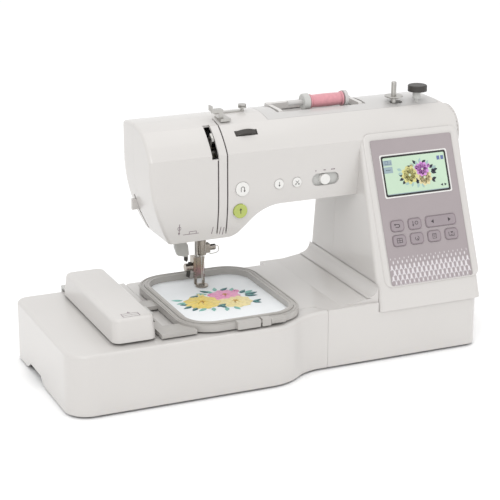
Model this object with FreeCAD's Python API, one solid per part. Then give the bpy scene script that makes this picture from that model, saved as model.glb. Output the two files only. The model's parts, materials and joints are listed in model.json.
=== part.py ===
import FreeCAD, Part
import math
import os

# Embroidery machine with its embroidery unit and hoop.
# Millimetres, +Z up, +X to the operator's right, -Y towards the operator.
# The origin is on the table, under the middle of the whole assembly.

V = FreeCAD.Vector
os.makedirs("parts", exist_ok=True)

# ---------------------------------------------------------------- driving dimensions
deck_z = 69.0             # bed and embroidery unit height above the table
foot_height = 3.0         # rubber feet
wall = 2.6                # moulded casing wall
gap = 0.3                 # clearance between pieces that do not touch
running = 0.05            # radial clearance of a shaft in its bore

needle_x = -53.0
needle_y = 42.0
arm_depth = 102.0         # front to back, with the needle in the middle
arm_clearance = 105.4     # bed to the arm's underside
arm_rise = 92.9           # arm's underside to the top of the casing
head_drop = 33.4          # the head hangs this far below the arm's underside
head_left_reach = 78.0    # needle to the head's left side
head_side_radius = 172.0  # the head's left side curves in below its widest level
widest_drop = 8.0         # crease to that level
head_corner = 26.0        # back left corner of the head, seen from above
corner_beyond = 1.5       # that corner's round is cut this far short by the flat back
head_soft = 4.0           # rounding of the head's front and top edges at its left end
arch_radius = 50.0        # arch between the arm and the head
arch_corner = 20.0
arch_start = 75.0         # needle to where the arch leaves the arm's underside
arm_reach = 162.0         # needle to the column's left wall at its foot
column_lean_left = 8.0    # the column's left wall leans right by this at the crease
column_width = 129.5      # at the foot
column_flare = 5.5        # the right wall leans out by this at the crease
column_back_lean = 10.0
shoulder_radius = 25.0    # upper right corner of the column, seen from the front
seam_z = 58.6             # joint between the base and the upper casings
crease_drop = 31.3        # top of the casing to the crease on the arm's front
panel_foot_z = 67.0       # the column's sloping front starts here

base_front = -79.0
base_back = 105.0
base_left = 46.5
base_right_inset = 3.0    # the base is this much narrower than the column's foot
ramp_rise = 5.5           # the bed rises by this beside the column
lip_radius = 13.0         # sweep from the bed into the column's wall

free_arm_left = -127.0
free_arm_front = -7.0
free_arm_back = 92.0
free_arm_bottom = 16.0
flare_front = -62.0       # the free arm flares to this where it meets the base

unit_left = -255.0
unit_front = -104.0
unit_back = 98.0
unit_corner = 25.0
unit_back_corner = 15.0
unit_curve_start = -30.0  # S-curve that brings the front wall back to the base's front
unit_curve_end = 38.0

carriage_left = -203.0
carriage_right = -155.0
carriage_front = -90.0
carriage_back = 85.0
carriage_height = 24.0
carriage_lift = 3.0       # shadow gap over the unit
carriage_travel = 50.0    # each way
rail_radius = 4.0

hoop_left = -124.0
hoop_right = 17.0
hoop_front = -95.0
hoop_back = 83.0
hoop_band = 11.0          # both rings together
hoop_ring = 5.4           # the outer ring alone
hoop_corner = 38.0
hoop_height = 6.8
hoop_lift = 2.0           # hoop over the bed
fabric_thick = 0.5

needle_bar_radius = 3.5
presser_bar_radius = 3.5
presser_back = 13.0       # presser bar behind the needle bar
shaft_radius = 5.0
lower_shaft_radius = 4.0
needle_radius = 0.45
hook_radius = 17.2
bobbin_radius = 10.2

button_radius = 8.0
small_button_radius = 5.5
button_proud = 1.4
dial_radius = 20.0
dial_thick = 6.0
spool_radius = 7.0
spool_cap_radius = 9.5
handwheel_radius = 29.0
handwheel_width = 12.5
key_apart = 5.5              # space between two keys of a row
key_height = 12.5

# ---------------------------------------------------------------- derived levels and places
underside_z = deck_z + arm_clearance
top_z = underside_z + arm_rise
head_z = underside_z - head_drop
crease_z = top_z - crease_drop
arm_front = needle_y - arm_depth / 2
arm_back = needle_y + arm_depth / 2
head_left_top = needle_x - head_left_reach
column_left_foot = needle_x + arm_reach
column_right_foot = column_left_foot + column_width
base_right = column_right_foot - base_right_inset
shaft_z = top_z - 42.3
shaft_y = needle_y
lower_shaft_z = deck_z - 37.0
hook_y = needle_y - hook_radius - needle_radius - 0.35
panel_run = arm_front - (base_front + 1.0)
panel_rise = crease_z - panel_foot_z
panel_slant = math.hypot(panel_run, panel_rise)
panel_sin = panel_run / panel_slant
panel_cos = panel_rise / panel_slant
fabric_z = deck_z + hoop_lift + 0.6
fabric_top = fabric_z + fabric_thick
carriage_z = deck_z + carriage_lift
carriage_top = carriage_z + carriage_height


# ---------------------------------------------------------------- building blocks
def outline(steps, place):
    """A closed wire through 2D steps; a step ("arc", middle, end) is an arc."""
    edges = []
    here = steps[0]
    for step in steps[1:]:
        if step[0] == "arc":
            middle, end = step[1], step[2]
            edges.append(Part.Arc(place(*here), place(*middle), place(*end)).toShape())
            here = end
        else:
            edges.append(Part.LineSegment(place(*here), place(*step)).toShape())
            here = step
    return Part.Wire(edges)


def prism_x(steps, x0, x1):
    face = Part.Face(outline(steps, lambda y, z: V(x0, y, z)))
    return face.extrude(V(x1 - x0, 0, 0))


def prism_y(steps, y0, y1):
    face = Part.Face(outline(steps, lambda x, z: V(x, y0, z)))
    return face.extrude(V(0, y1 - y0, 0))


def prism_z(steps, z0, z1):
    face = Part.Face(outline(steps, lambda x, y: V(x, y, z0)))
    return face.extrude(V(0, 0, z1 - z0))


def box(x0, x1, y0, y1, z0, z1):
    return Part.makeBox(x1 - x0, y1 - y0, z1 - z0, V(x0, y0, z0))


def rod(start, end, radius):
    direction = V(*end) - V(*start)
    return Part.makeCylinder(radius, direction.Length, V(*start), direction)


def tube(start, end, outer, inner):
    direction = V(*end) - V(*start)
    unit = V(direction).normalize()
    bore = Part.makeCylinder(inner, direction.Length + 2, V(*start) - unit, direction)
    return rod(start, end, outer).cut(bore)


def join(first, *others):
    return first.multiFuse(list(others)).removeSplitter()


def round_edges(shape, radius, wanted):
    edges = [edge for edge in shape.Edges if wanted(edge.BoundBox)]
    return shape.makeFillet(radius, edges)


def upright(bound):
    return bound.XLength < 0.01 and bound.YLength < 0.01


def block(x0, x1, y0, y1, z0, z1, radius):
    """A box with rounded upright edges."""
    return round_edges(box(x0, x1, y0, y1, z0, z1), radius, upright)


def level(z):
    return lambda bound: abs(bound.ZMin - z) < 0.01 and abs(bound.ZMax - z) < 0.01


def on_panel(shape):
    """Moves a shape from panel coordinates (x, up the slope, out of it) to the machine."""
    matrix = FreeCAD.Matrix(1, 0, 0, 0,
                            0, panel_sin, -panel_cos, base_front + 1.0,
                            0, panel_cos, panel_sin, panel_foot_z,
                            0, 0, 0, 1)
    moved = shape.copy()
    moved.transformShape(matrix)
    return moved


def up_panel(z):
    """Distance up the slope of the point at height z."""
    return (z - panel_foot_z) / panel_cos


def panel_block(x0, x1, z0, z1, low, high, radius):
    return on_panel(block(x0, x1, up_panel(z0), up_panel(z1), low, high, radius))


def save(name, shape):
    shape.exportStep("parts/" + name + ".step")


# ---------------------------------------------------------------- outer form of the machine
def head_left(z):
    drop = max(0.0, crease_z - widest_drop - z)
    return head_left_top + head_side_radius - math.sqrt(head_side_radius ** 2 - drop ** 2)


def column_share(z):
    return (z - seam_z) / (crease_z - seam_z)


def column_left(z):
    return column_left_foot + column_lean_left * column_share(z)


def column_right(z):
    return column_right_foot + column_flare * column_share(z)


def column_front(z):
    return base_front + 1.0 + (z - panel_foot_z) * panel_run / panel_rise


def column_back(z):
    return base_back - 2.0 - column_back_lean * column_share(z)


def top_line(inset):
    """Front band, top and back of the casing in side view, from the crease on the front."""
    front = arm_front + inset
    back = arm_back - inset
    return [
        (front, crease_z - 0.4 * inset),
        ("arc", (arm_front + 11.6 + 0.7 * inset, crease_z + 14.6 - 0.7 * inset),
         (arm_front + 26.0 + 0.6 * inset, top_z - 4.8 - inset)),
        ("arc", (arm_front + 54.0, top_z - inset), (arm_back - 19.0 - 0.3 * inset, top_z - 3.1 - inset)),
        ("arc", (arm_back - 5.4 - 0.8 * inset, top_z - 9.8 - 0.8 * inset), (back, top_z - 24.3 - 0.4 * inset)),
    ]


def arm_profile(inset):
    front = arm_front + inset
    back = arm_back - inset
    low = head_z - 40.0
    foot = front + 8.8
    steps = [(foot, low), (foot, head_z - 4.0)]
    steps.append(("arc", (front + 1.9, head_z + 24.5), (front, head_z + 49.0)))
    steps += top_line(inset)
    steps += [(back, low), (foot, low)]
    return prism_x(steps, head_left_top - 30, column_right_foot + 60)


def column_profile(inset):
    ahead = base_front - 50.0
    start = top_line(inset)[0]
    steps = [(ahead, seam_z - 30), (ahead, start[1])] + top_line(inset)
    end = steps[-1][2]
    steps += [(base_back + 40, end[1]), (base_back + 40, seam_z - 30), (ahead, seam_z - 30)]
    return prism_x(steps, column_left_foot - 30, column_right_foot + 60)


def head_form(inset):
    """The head before its top, front and underside are cut: its left side curves in towards the bottom."""
    left = head_left_top + inset
    right = column_left(crease_z) + 12.0
    widest = crease_z - widest_drop
    low = head_z - 20
    middle = (widest + low) / 2
    back = arm_back - inset
    form = prism_y([
        (left, top_z + 15), (left, widest), ("arc", (head_left(middle) + inset, middle), (head_left(low) + inset, low)),
        (right, low), (right, top_z + 15), (left, top_z + 15)], arm_front - 20, back + corner_beyond)

    def back_left(bound):
        return bound.YMin > back + corner_beyond - 0.01 and bound.XMax < needle_x - 20 and bound.ZLength > 10

    return round_edges(form, head_corner - inset, back_left)


def column_section(z, inset):
    left = column_left(z) + inset
    right = column_right(z) - inset
    front = column_front(z) + inset * 1.08
    back = column_back(z) - inset
    steps = []
    corners = [(left, front, 1, 1, 5.0), (left, back, 1, -1, 6.0),
               (right, back, -1, -1, 30.0), (right, front, -1, 1, 9.0)]
    for number, (x, y, dx, dy, radius) in enumerate(corners):
        radius = max(radius - inset, 1.0)
        bend = radius * (1 - math.sqrt(0.5))
        across = (x + dx * radius, y)
        along = (x, y + dy * radius)
        first, last = (across, along) if number % 2 == 0 else (along, across)
        steps += [first, ("arc", (x + dx * bend, y + dy * bend), last)]
    steps.append(steps[0])
    return outline(steps, lambda x, y: V(x, y, z))


def below_arm(inset):
    """The space under the arm and the head, in front view."""
    ceiling = underside_z + inset
    floor = head_z + inset
    start = needle_x + arch_start + inset
    radius = arch_radius - inset
    corner = arch_corner + inset
    sin_half, cos_half = math.sin(math.radians(22.5)), math.cos(math.radians(22.5))
    slope = math.sqrt(0.5)
    leave = (start - radius * slope, ceiling - radius * (1 - slope))
    meet_z = floor + corner * (1 - slope)
    meet = (leave[0] - (leave[1] - meet_z), meet_z)
    flat = meet[0] - corner * slope
    far_right = column_right_foot + 60
    far_left = head_left_top - 40
    return prism_y([
        (far_right, head_z - 60), (far_right, ceiling), (start, ceiling),
        ("arc", (start - radius * sin_half, ceiling - radius * (1 - cos_half)), leave),
        meet,
        ("arc", (flat + corner * sin_half, floor + corner * (1 - cos_half)), (flat, floor)),
        (far_left, floor), (far_left, head_z - 60), (far_right, head_z - 60)],
        arm_front - 40, arm_back + 40)


def column_shoulder(inset):
    """The column in front view, with its rounded upper right shoulder."""
    radius = shoulder_radius - inset
    level_z = top_z + 0.5 - shoulder_radius
    right = column_right(level_z) - inset
    low = seam_z - 30
    centre_x = right - radius
    bend = radius * math.sqrt(0.5)
    left = column_left_foot - 20
    return prism_y([
        (left, low), (left, level_z + radius), (centre_x, level_z + radius),
        ("arc", (centre_x + bend, level_z + bend), (right, level_z)),
        (right, low), (left, low)], base_front - 60, base_back + 60)


def left_end(bound):
    """The head's front, top and back edges at its left end."""
    if bound.XMax > head_left_top + 50 or bound.ZMax < head_z + 10 or bound.ZLength < 0.01:
        return False
    return bound.YMax < arm_front + 27 or bound.ZMin > crease_z


def upper_body(inset):
    """The closed form of the upper casings, shrunk all round by inset."""
    head = head_form(inset).common(arm_profile(inset)).cut(below_arm(inset))
    if not inset:
        head = round_edges(head, head_soft, left_end)
    low, high = seam_z, top_z + 15
    if inset:
        low -= 10
    column = Part.makeLoft([column_section(low, inset), column_section(high, inset)], True, True)
    column = column.common(column_profile(inset))
    column = column.common(column_shoulder(inset))
    return head.fuse(column)


# ---------------------------------------------------------------- upper casings
split_y = needle_y
panel_left = column_left(crease_z) + 11.0
panel_right = column_right(crease_z) - 13.0
panel_low = panel_foot_z + 14.5
panel_high = crease_z - 1.0
panel_deep = 1.6
screen_left = panel_left + 10.0
screen_right = panel_right - 10.0
screen_low = panel_high - 61.3
screen_high = panel_high - 18.0
key_rows = [screen_low - 30.0, screen_low - 45.3]
key_left = screen_left + 8.0
key_step = (screen_right - key_left - 9.0) / 3
key_width = key_step - key_apart
key_deep = 3.0
key_proud = 0.7

button_places = {
    "reverse_button": (needle_x + 28.0, underside_z + 21.6, button_radius),
    "start_button": (needle_x + 25.5, underside_z - 2.9, button_radius),
    "needle_button": (needle_x + 71.5, underside_z + 22.4, small_button_radius),
    "cutter_button": (needle_x + 93.0, underside_z + 22.2, small_button_radius),
}
slider_left = needle_x + 111.5
slider_right = needle_x + 144.5
slider_z = underside_z + 21.9
slider_half = 7.0
slider_rest = needle_x + 127.0
slot_left = needle_x - 7.0
slot_right = needle_x + 1.0
slot_low = crease_z - 4.0
slot_high = top_z - 4.0
dial_x = needle_x + 39.0
dial_centre = V(dial_x, arm_front + 15.0 + (dial_radius - 3.5) * math.sqrt(0.5),
                top_z - 13.0 - (dial_radius - 3.5) * math.sqrt(0.5))
dial_axis = V(0, math.sqrt(0.5), math.sqrt(0.5))
cover_left = needle_x + 70.0
cover_right = column_right(crease_z) - 14.0
cover_front = arm_front + 27.0
cover_back = arm_back - 12.0
cover_low = top_z - 8.3
trough_left = needle_x + 88.0
trough_right = cover_right - 85.0
trough_front = needle_y - 9.0
trough_back = cover_back - 4.0
trough_floor = top_z - 7.3
spool_y = needle_y + 3.0
spool_z = top_z + 4.7
threader_y = needle_y + 16.0
threader_z = deck_z + 106.0
threader_travel = 22.0
inlet_y = needle_y + 18.0
inlet_z = deck_z + 21.0
winder_x = column_left(crease_z) + 61.0
winder_y = arm_front + 38.0
winder_travel = 6.0
stop_x = winder_x + 28.0
stop_y = winder_y - 3.0
lever_x = needle_x + 22.0
lever_y = needle_y + 34.0


def groove(left, right, low, high, depth):
    """A shallow channel that follows the front and top of the head."""
    band = arm_profile(0.0).cut(arm_profile(depth))
    return band.common(box(left, right, arm_front - 20, needle_y - 8, low, high))


def casing_openings():
    cuts = []
    for x, z, radius in button_places.values():
        cuts.append(rod((x, arm_front - 10, z), (x, arm_front + 12, z), radius + gap))
    cuts.append(block_y(slider_left, slider_right, arm_front - 10, arm_front + 8,
                        slider_z - slider_half, slider_z + slider_half, slider_half - 0.2))
    cuts.append(box(slot_left, slot_right, arm_front - 10, arm_front + 30, slot_low, slot_high))
    cuts.append(groove(slot_right - 1.6, slot_right, head_z + 6, slot_low, 1.5))
    cuts.append(groove(slot_right + 9.0, slot_right + 10.6, head_z + 5, top_z, 1.5))
    axis = dial_axis * (dial_thick / 2 + 0.6)
    cuts.append(rod(dial_centre - axis, dial_centre + axis, dial_radius + 0.8))
    cuts.append(panel_block(panel_left, panel_right, panel_low, panel_high, -panel_deep, 12.0, 4.0))
    cuts.append(panel_block(screen_left, screen_right, screen_low, screen_high, -wall - 4, 0.0, 2.0))
    for x, z, width in key_places.values():
        cuts.append(key_block(x, z, width, gap, -wall - 4, 0.0))
    cuts.append(box(cover_left, cover_right, cover_front, cover_back, cover_low, top_z + 20))
    cuts.append(box(head_left_top - 5, head_left_top + 25, threader_y - 2.5, threader_y + 2.5,
                    threader_z - threader_travel - 9, threader_z + 9))
    cuts.append(rod((column_right_foot - 20, shaft_y, shaft_z), (column_right_foot + 30, shaft_y, shaft_z), 9.0))
    for name, (y0, y1, z0, z1) in side_places.items():
        cuts.append(box(column_right_foot - 16, column_right_foot + 12, y0, y1, z0, z1))
    cuts.append(box(needle_x - 42, needle_x + 26, arm_front + 17, arm_back - wall - 3, head_z - 5, head_z + wall + 3))
    cuts.append(box(needle_x - 20, needle_x + 14, arm_front + 10, arm_front + 18, head_z - 5, head_z + wall + 1))
    cuts.append(box(column_left_foot - 12, column_left_foot + 6, needle_y - 6, needle_y + 6,
                    seam_z - 1, seam_z + 6))
    return Part.makeCompound(cuts)


def block_y(x0, x1, y0, y1, z0, z1, radius):
    """A box with its edges along Y rounded."""
    def along_y(bound):
        return bound.XLength < 0.01 and bound.ZLength < 0.01
    return round_edges(box(x0, x1, y0, y1, z0, z1), radius, along_y)


def key_block(x, z, width, grow, low, high):
    half = width / 2 + grow
    centre = up_panel(z)
    tall = key_height / 2 + grow
    return on_panel(block(x - half, x + half, centre - tall, centre + tall, low, high, 3.5 + grow))


key_places = {
    "key_back": (key_left, key_rows[0], key_width),
    "key_stitch": (key_left + key_step, key_rows[0], key_width),
    "key_arrows": (key_left + 2.5 * key_step, key_rows[0], key_step + key_width),
}
for place, name in enumerate(["key_edit", "key_adjust", "key_start_point", "key_help"]):
    key_places[name] = (key_left + place * key_step, key_rows[1], key_width)

side_places = {
    "power_switch": (inlet_y - 34.0, inlet_y - 16.0, inlet_z - 13.0, inlet_z + 13.0),
    "power_inlet": (inlet_y - 12.0, inlet_y + 12.0, inlet_z - 8.0, inlet_z + 8.0),
}

outer = upper_body(0.0)
inner = upper_body(wall)

shell = outer.cut(inner).cut(casing_openings())
front_half = box(head_left_top - 40, column_right_foot + 60, base_front - 60, split_y, seam_z, top_z + 40)
rear_half = box(head_left_top - 40, column_right_foot + 60, split_y + 0.15, base_back + 60, seam_z, top_z + 40)
front_casing = shell.common(front_half)
rear_casing = shell.common(rear_half)
screw_places = [(needle_x - 40, crease_z - 20), (needle_x + 30, underside_z + 16), (column_left_foot + 25, crease_z - 10),
                (column_right_foot - 25, crease_z - 10), (column_left_foot + 25, seam_z + 14),
                (column_right_foot - 30, seam_z + 14)]


def back_surface(x, z):
    return arm_back if x < column_left_foot else column_back(z)


screws = []
for x, z in screw_places:
    surface = back_surface(x, z)
    rear_casing = rear_casing.cut(rod((x, surface + 2, z), (x, surface - 1.2, z), 4.0))
    rear_casing = rear_casing.cut(rod((x, surface + 2, z), (x, surface - 8, z), 1.9))
    screw = rod((x, surface - 0.3, z), (x, surface - 1.2, z), 3.6)
    screw = screw.fuse(rod((x, surface - 1.2, z), (x, surface - 9.0, z), 1.6))
    slot = box(x - 2.4, x + 2.4, surface - 0.8, surface + 1, z - 0.45, z + 0.45)
    cross = box(x - 0.45, x + 0.45, surface - 0.8, surface + 1, z - 2.4, z + 2.4)
    screws.append(screw.cut(slot).cut(cross))
save("front_casing", front_casing)
save("rear_casing", rear_casing)
save("casing_screws", Part.makeCompound(screws))

# ---------------------------------------------------------------- top cover, spool pin, handle
cover = outer.common(box(cover_left + gap, cover_right - gap, cover_front + gap, cover_back - gap,
                         cover_low + gap, top_z + 20))
cover = cover.cut(box(trough_left, trough_right, trough_front, trough_back, trough_floor, top_z + 20))
handle_radius = 3.4
handle_left = trough_left + 5.5
handle_right = trough_right - 5.5
handle_y = trough_front + 5.5
handle_z = trough_floor + 4.0
handle_reach = trough_back - handle_y - 5.5
pin_end = trough_right - 24.0
bracket = box(pin_end, pin_end + 4, spool_y - 5, spool_y + 5, trough_floor - 1, spool_z)
rest = rod((pin_end, spool_y, spool_z), (pin_end + 4, spool_y, spool_z), 9.0)
pin = rod((pin_end, spool_y, spool_z), (pin_end - 68.0, spool_y, spool_z), 3.0)
cover = join(cover, bracket, rest.cut(box(pin_end - 1, pin_end + 6, spool_y - 12, spool_y + 12, 0, trough_floor)), pin)
for x0, x1 in ((trough_left - 1, handle_left - 2.6), (handle_right + 2.6, trough_right + 1)):
    cover = cover.fuse(rod((x0, handle_y, handle_z), (x1, handle_y, handle_z), 1.5))
winder_slot = block(winder_x - 4.5, winder_x + 4.5 + winder_travel, winder_y - 4.5, winder_y + 4.5,
                    cover_low - 2, top_z + 10, 4.4)
cover = cover.cut(winder_slot)
cover = cover.cut(rod((stop_x, stop_y, cover_low - 2), (stop_x, stop_y, top_z + 9), 2.6))
save("top_cover", cover.removeSplitter())

grip = box(handle_left - 2.4, handle_right + 2.4, handle_y + handle_reach - 4.5, handle_y + handle_reach + 3.5,
           handle_z - 3.0, handle_z + 4.0)
handle = grip
for x in (handle_left, handle_right):
    handle = handle.fuse(box(x - 2.4, x + 2.4, handle_y, handle_y + handle_reach, handle_z - 3.0, handle_z + 3.4))
    handle = handle.fuse(rod((x - 2.4, handle_y, handle_z), (x + 2.4, handle_y, handle_z), handle_radius))
handle = handle.cut(rod((handle_left - 10, handle_y, handle_z), (handle_right + 10, handle_y, handle_z), 1.5 + running))
handle = handle.cut(box(handle_left + 2.4, handle_right - 2.4, handle_y - 20, handle_y + handle_reach - 4.5,
                        handle_z - 20, handle_z + 20))
save("carry_handle", handle)

spool_left = pin_end - 42.0
spool = tube((spool_left, spool_y, spool_z), (pin_end - 1.0, spool_y, spool_z), spool_radius - 1.6, 3.0 + running)
ends = [tube((x, spool_y, spool_z), (x + 1.8, spool_y, spool_z), spool_radius + 1.2, 3.0 + running)
        for x in (spool_left, pin_end - 2.8)]
thread = tube((spool_left + 1.8, spool_y, spool_z), (pin_end - 2.8, spool_y, spool_z), spool_radius, 3.0 + running)
save("thread_spool", join(spool, thread, *ends))
cap = tube((spool_left - 8.5, spool_y, spool_z), (spool_left - 0.5, spool_y, spool_z), spool_cap_radius, 3.0 + running)
cap = round_edges(cap, 1.5, lambda bound: bound.YLength > 2 * spool_cap_radius - 1)
save("spool_cap", cap)

# winder: a spindle with a seat, which clicks sideways against its stop
winder_top = top_z + 22.0
seat = Part.makeCone(4.2, 10.5, 2.4, V(winder_x, winder_y, top_z + 2.4)).fuse(
    rod((winder_x, winder_y, top_z + 4.8), (winder_x, winder_y, top_z + 6.0), 10.5))
spindle = rod((winder_x, winder_y, top_z - 24), (winder_x, winder_y, winder_top), 2.9)
spindle = round_edges(spindle, 1.0, level(winder_top))
key = box(winder_x - 0.6, winder_x + 0.6, winder_y - 3.5, winder_y, top_z + 7, winder_top - 4)
save("winder_shaft", join(seat, spindle, key))
post = rod((stop_x, stop_y, cover_low - 6), (stop_x, stop_y, top_z + 9.4), 2.5)
post_collar = rod((stop_x, stop_y, top_z + 0.8), (stop_x, stop_y, top_z + 9.4), 4.6)
knob = rod((stop_x + 0.8, stop_y, top_z + 9.4), (stop_x + 0.8, stop_y, top_z + 16.4), 11.0)
knob = round_edges(knob, 1.4, level(top_z + 16.4))
save("winder_stop", join(post, post_collar, knob))

guide_x = needle_x + 15.0
guide_y = arm_front + 33.0
guide = box(guide_x, guide_x + 5, guide_y, guide_y + 1.6, top_z - 3, top_z + 9)
guide = join(guide, box(guide_x - 9, guide_x + 5, guide_y, guide_y + 1.6, top_z + 7.4, top_z + 9),
             box(guide_x - 9, guide_x + 5, guide_y, guide_y + 9, top_z + 9, top_z + 10.4),
             box(guide_x - 9, guide_x - 7.4, guide_y, guide_y + 9, top_z + 9, top_z + 15))
guide_foot = box(guide_x, guide_x + 12, guide_y - 4, guide_y + 14, top_z - 2.2, top_z + 0.9)
disc_x = needle_x + 53.0
disc_y = needle_y + 8.0
disc_foot = rod((disc_x, disc_y, top_z - 1.6), (disc_x, disc_y, top_z + 8), 1.8)
discs = [rod((disc_x, disc_y, top_z + low), (disc_x, disc_y, top_z + low + 1.6), 4.6) for low in (4.0, 6.4)]
bridge = box(guide_x + 5, disc_x, disc_y - 3, disc_y + 3, top_z - 0.2, top_z + 1.4)
save("thread_guide", join(guide, guide_foot, bridge, disc_foot, *discs).cut(outer))

# ---------------------------------------------------------------- control panel
panel = panel_block(panel_left + gap, panel_right - gap, panel_low + gap, panel_high - gap, -panel_deep + 0.05, -0.1, 3.7)
panel = panel.cut(panel_block(screen_left, screen_right, screen_low, screen_high, -5, 5, 2.0))
for x, z, width in key_places.values():
    panel = panel.cut(key_block(x, z, width, gap, -5, 5))
save("control_panel", panel)
save("lcd_screen", panel_block(screen_left + gap, screen_right - gap, screen_low + gap, screen_high - gap,
                               -wall - 3, -0.5, 1.7))
for name, (x, z, width) in key_places.items():
    save(name, key_block(x, z, width, 0.0, -key_deep, key_proud))

for name, (x, z, radius) in button_places.items():
    cap = rod((x, arm_front + 7, z), (x, arm_front - button_proud, z), radius)
    stem = rod((x, arm_front + 14, z), (x, arm_front + 7, z), radius * 0.5)
    edge = lambda bound: bound.YMax < arm_front - button_proud + 0.01
    save(name, round_edges(cap, 0.9, edge).fuse(stem))
thumb = rod((slider_rest, arm_front + 6.5, slider_z), (slider_rest, arm_front - 2.2, slider_z), slider_half - 1.0)
thumb = round_edges(thumb, 1.0, lambda bound: bound.YMax < arm_front - 2.1)
track = box(slider_rest - 9, slider_rest + 9, arm_front + 6.5, arm_front + 9, slider_z - 8, slider_z + 8)
save("speed_slider", thumb.fuse(track))

# ---------------------------------------------------------------- base and free arm
ramp_start = base_left + 18
lip_x = column_left_foot + column_lean_left * column_share(deck_z) - 0.25
lip_z = deck_z + ramp_rise


def base_plan(inset):
    left = base_left + inset
    right = base_right - inset
    front = base_front + inset
    back = base_back - inset
    radius = 12.0 - inset
    bend = radius * (1 - math.sqrt(0.5))
    return [
        (left, front), (right - radius, front), ("arc", (right - bend, front + bend), (right, front + radius)),
        (right, back - radius), ("arc", (right - bend, back - bend), (right - radius, back)),
        (left, back), (left, front)]


def arm_plan(inset):
    """The free arm, with the flare that runs into the base."""
    left = free_arm_left + inset
    front = free_arm_front + inset
    back = free_arm_back - inset
    return [
        (left, front), (needle_x + 40, front), (needle_x + 62, flare_front + inset),
        (base_left - 10.0, flare_front + inset), (base_left + 1.0, base_front + 0.5 + 2 * inset),
        (base_left + 8.0, base_front + 0.5 + 2 * inset),
        (base_left + 8.0, back), (left, back), (left, front)]


base_skin = prism_z(base_plan(0.0), foot_height, deck_z)
arm_skin = prism_z(arm_plan(0.0), free_arm_bottom, deck_z)
arm_skin = round_edges(arm_skin, 6.0, lambda bound: upright(bound) and bound.XMax < free_arm_left + 1)


def bed_rise(x_end):
    return prism_y([
        (ramp_start, deck_z - 5), (ramp_start, deck_z), (ramp_start + 38, lip_z),
        (lip_x - lip_radius, lip_z),
        ("arc", (lip_x - lip_radius * (1 - math.sqrt(0.5)), lip_z + lip_radius * (1 - math.sqrt(0.5))),
         (lip_x, lip_z + lip_radius)),
        (x_end, lip_z + lip_radius), (x_end, deck_z - 5), (ramp_start, deck_z - 5)],
        base_front + 4, base_back - 4)


lip = bed_rise(lip_x + 6).cut(outer)
lip = lip.cut(box(lip_x, lip_x + 20, base_front, base_back, 0, lip_z + 30))
bed = base_skin.fuse(arm_skin)
bed_hollow = prism_z(base_plan(wall), 0, deck_z - wall).fuse(prism_z(arm_plan(wall), free_arm_bottom + wall, deck_z - wall))
bed = bed.cut(bed_hollow)
bed = bed.cut(outer)
column_hole = box(column_left_foot - 1, base_right + 5, base_front - 5, base_back + 5, seam_z - gap, deck_z + 40)
bed = bed.cut(column_hole).fuse(lip)
plate_left = free_arm_left + 12.0
plate_right = needle_x + 48.0
plate_front = free_arm_front + 9.0
plate_back = free_arm_back - 8.0
plate_thick = 2.4
bed = bed.cut(block(plate_left, plate_right, plate_front, plate_back, deck_z - plate_thick, deck_z + 5, 3.0))
bed = bed.cut(block(plate_left + 4, plate_right - 4, plate_front + 4, plate_back - 4, deck_z - 10, deck_z + 5, 3.0))
bed = bed.cut(box(column_left_foot + 6, base_right - 6, base_front + 6, base_back - 6, deck_z - 20, deck_z))
save("bed_casing", bed.removeSplitter())

plate = block(plate_left + gap, plate_right - gap, plate_front + gap, plate_back - gap,
              deck_z - plate_thick + 0.05, deck_z + 0.1, 2.7)
cover_x0, cover_x1 = needle_x - 25.0, needle_x + 25.0
cover_y0, cover_y1 = plate_front + 3.0, needle_y - 8.0
plate = plate.cut(block(cover_x0, cover_x1, cover_y0, cover_y1, deck_z - 5, deck_z + 5, 2.0))
plate = plate.cut(rod((needle_x, needle_y, deck_z - 5), (needle_x, needle_y, deck_z + 5), 1.6))
for side in (-9.0, -5.5, 5.5, 9.0):
    plate = plate.cut(box(needle_x + side - 1, needle_x + side + 1, needle_y - 6, needle_y + 17, deck_z - 5, deck_z + 5))
save("needle_plate", plate)
save("bobbin_cover", block(cover_x0 + gap, cover_x1 - gap, cover_y0 + gap, cover_y1 - gap,
                           deck_z - plate_thick + 0.3, deck_z + 0.1, 1.7))

# feet under the base and under the unit
feet = []
for x, y in ((base_left + 22, base_front + 22), (base_right - 22, base_front + 22),
             (base_left + 22, base_back - 22), (base_right - 22, base_back - 22),
             (unit_left + 30, unit_front + 30), (unit_left + 30, unit_back - 30), (unit_curve_start, unit_front + 30)):
    feet.append(rod((x, y, 0), (x, y, foot_height), 8.0))
save("rubber_feet", Part.makeCompound(feet))

# ---------------------------------------------------------------- frame, shafts and drive
plate_z = foot_height + 3.0
frame_x = column_left_foot + 34.0
belt_x = column_right_foot - 30.0
timing_x = column_right_foot - 46.0
main_pulley = 21.0
motor_pulley_radius = 7.0
timing_pulley = 10.0
motor_y = needle_y + 39.6 - wall
motor_radius = 18.0
motor_z = deck_z + 42.0
base_plate = block(base_left + wall + gap, base_right - wall - gap, base_front + wall + gap, base_back - wall - gap,
                   foot_height, plate_z, 12.0 - wall)
post = box(frame_x, frame_x + 14, shaft_y - 22, shaft_y + 18, plate_z, shaft_z + 14)
arm_beam = box(needle_x + 22, frame_x + 14, shaft_y + 9, shaft_y + 17, shaft_z - 22, shaft_z + 10)
head_web = box(needle_x + 22, needle_x + 30, shaft_y - 9, shaft_y + 17, shaft_z - 22, shaft_z + 14)
right_web = box(timing_x - 14, timing_x - 6, shaft_y - 12, shaft_y + 17, plate_z, shaft_z + 14)
right_beam = box(frame_x, timing_x - 6, shaft_y + 9, shaft_y + 17, shaft_z - 22, shaft_z + 10)
guides = []
for low, high in ((head_z + 6, head_z + 18), (head_z + 27, head_z + 35), (shaft_z + 20, shaft_z + 28)):
    guides.append(box(needle_x - 8, needle_x + 8, needle_y - 7, needle_y + presser_back + 8, low, high))
    guides.append(box(needle_x + 7, needle_x + 22, needle_y + 9, needle_y + 17, low, high))
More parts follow.
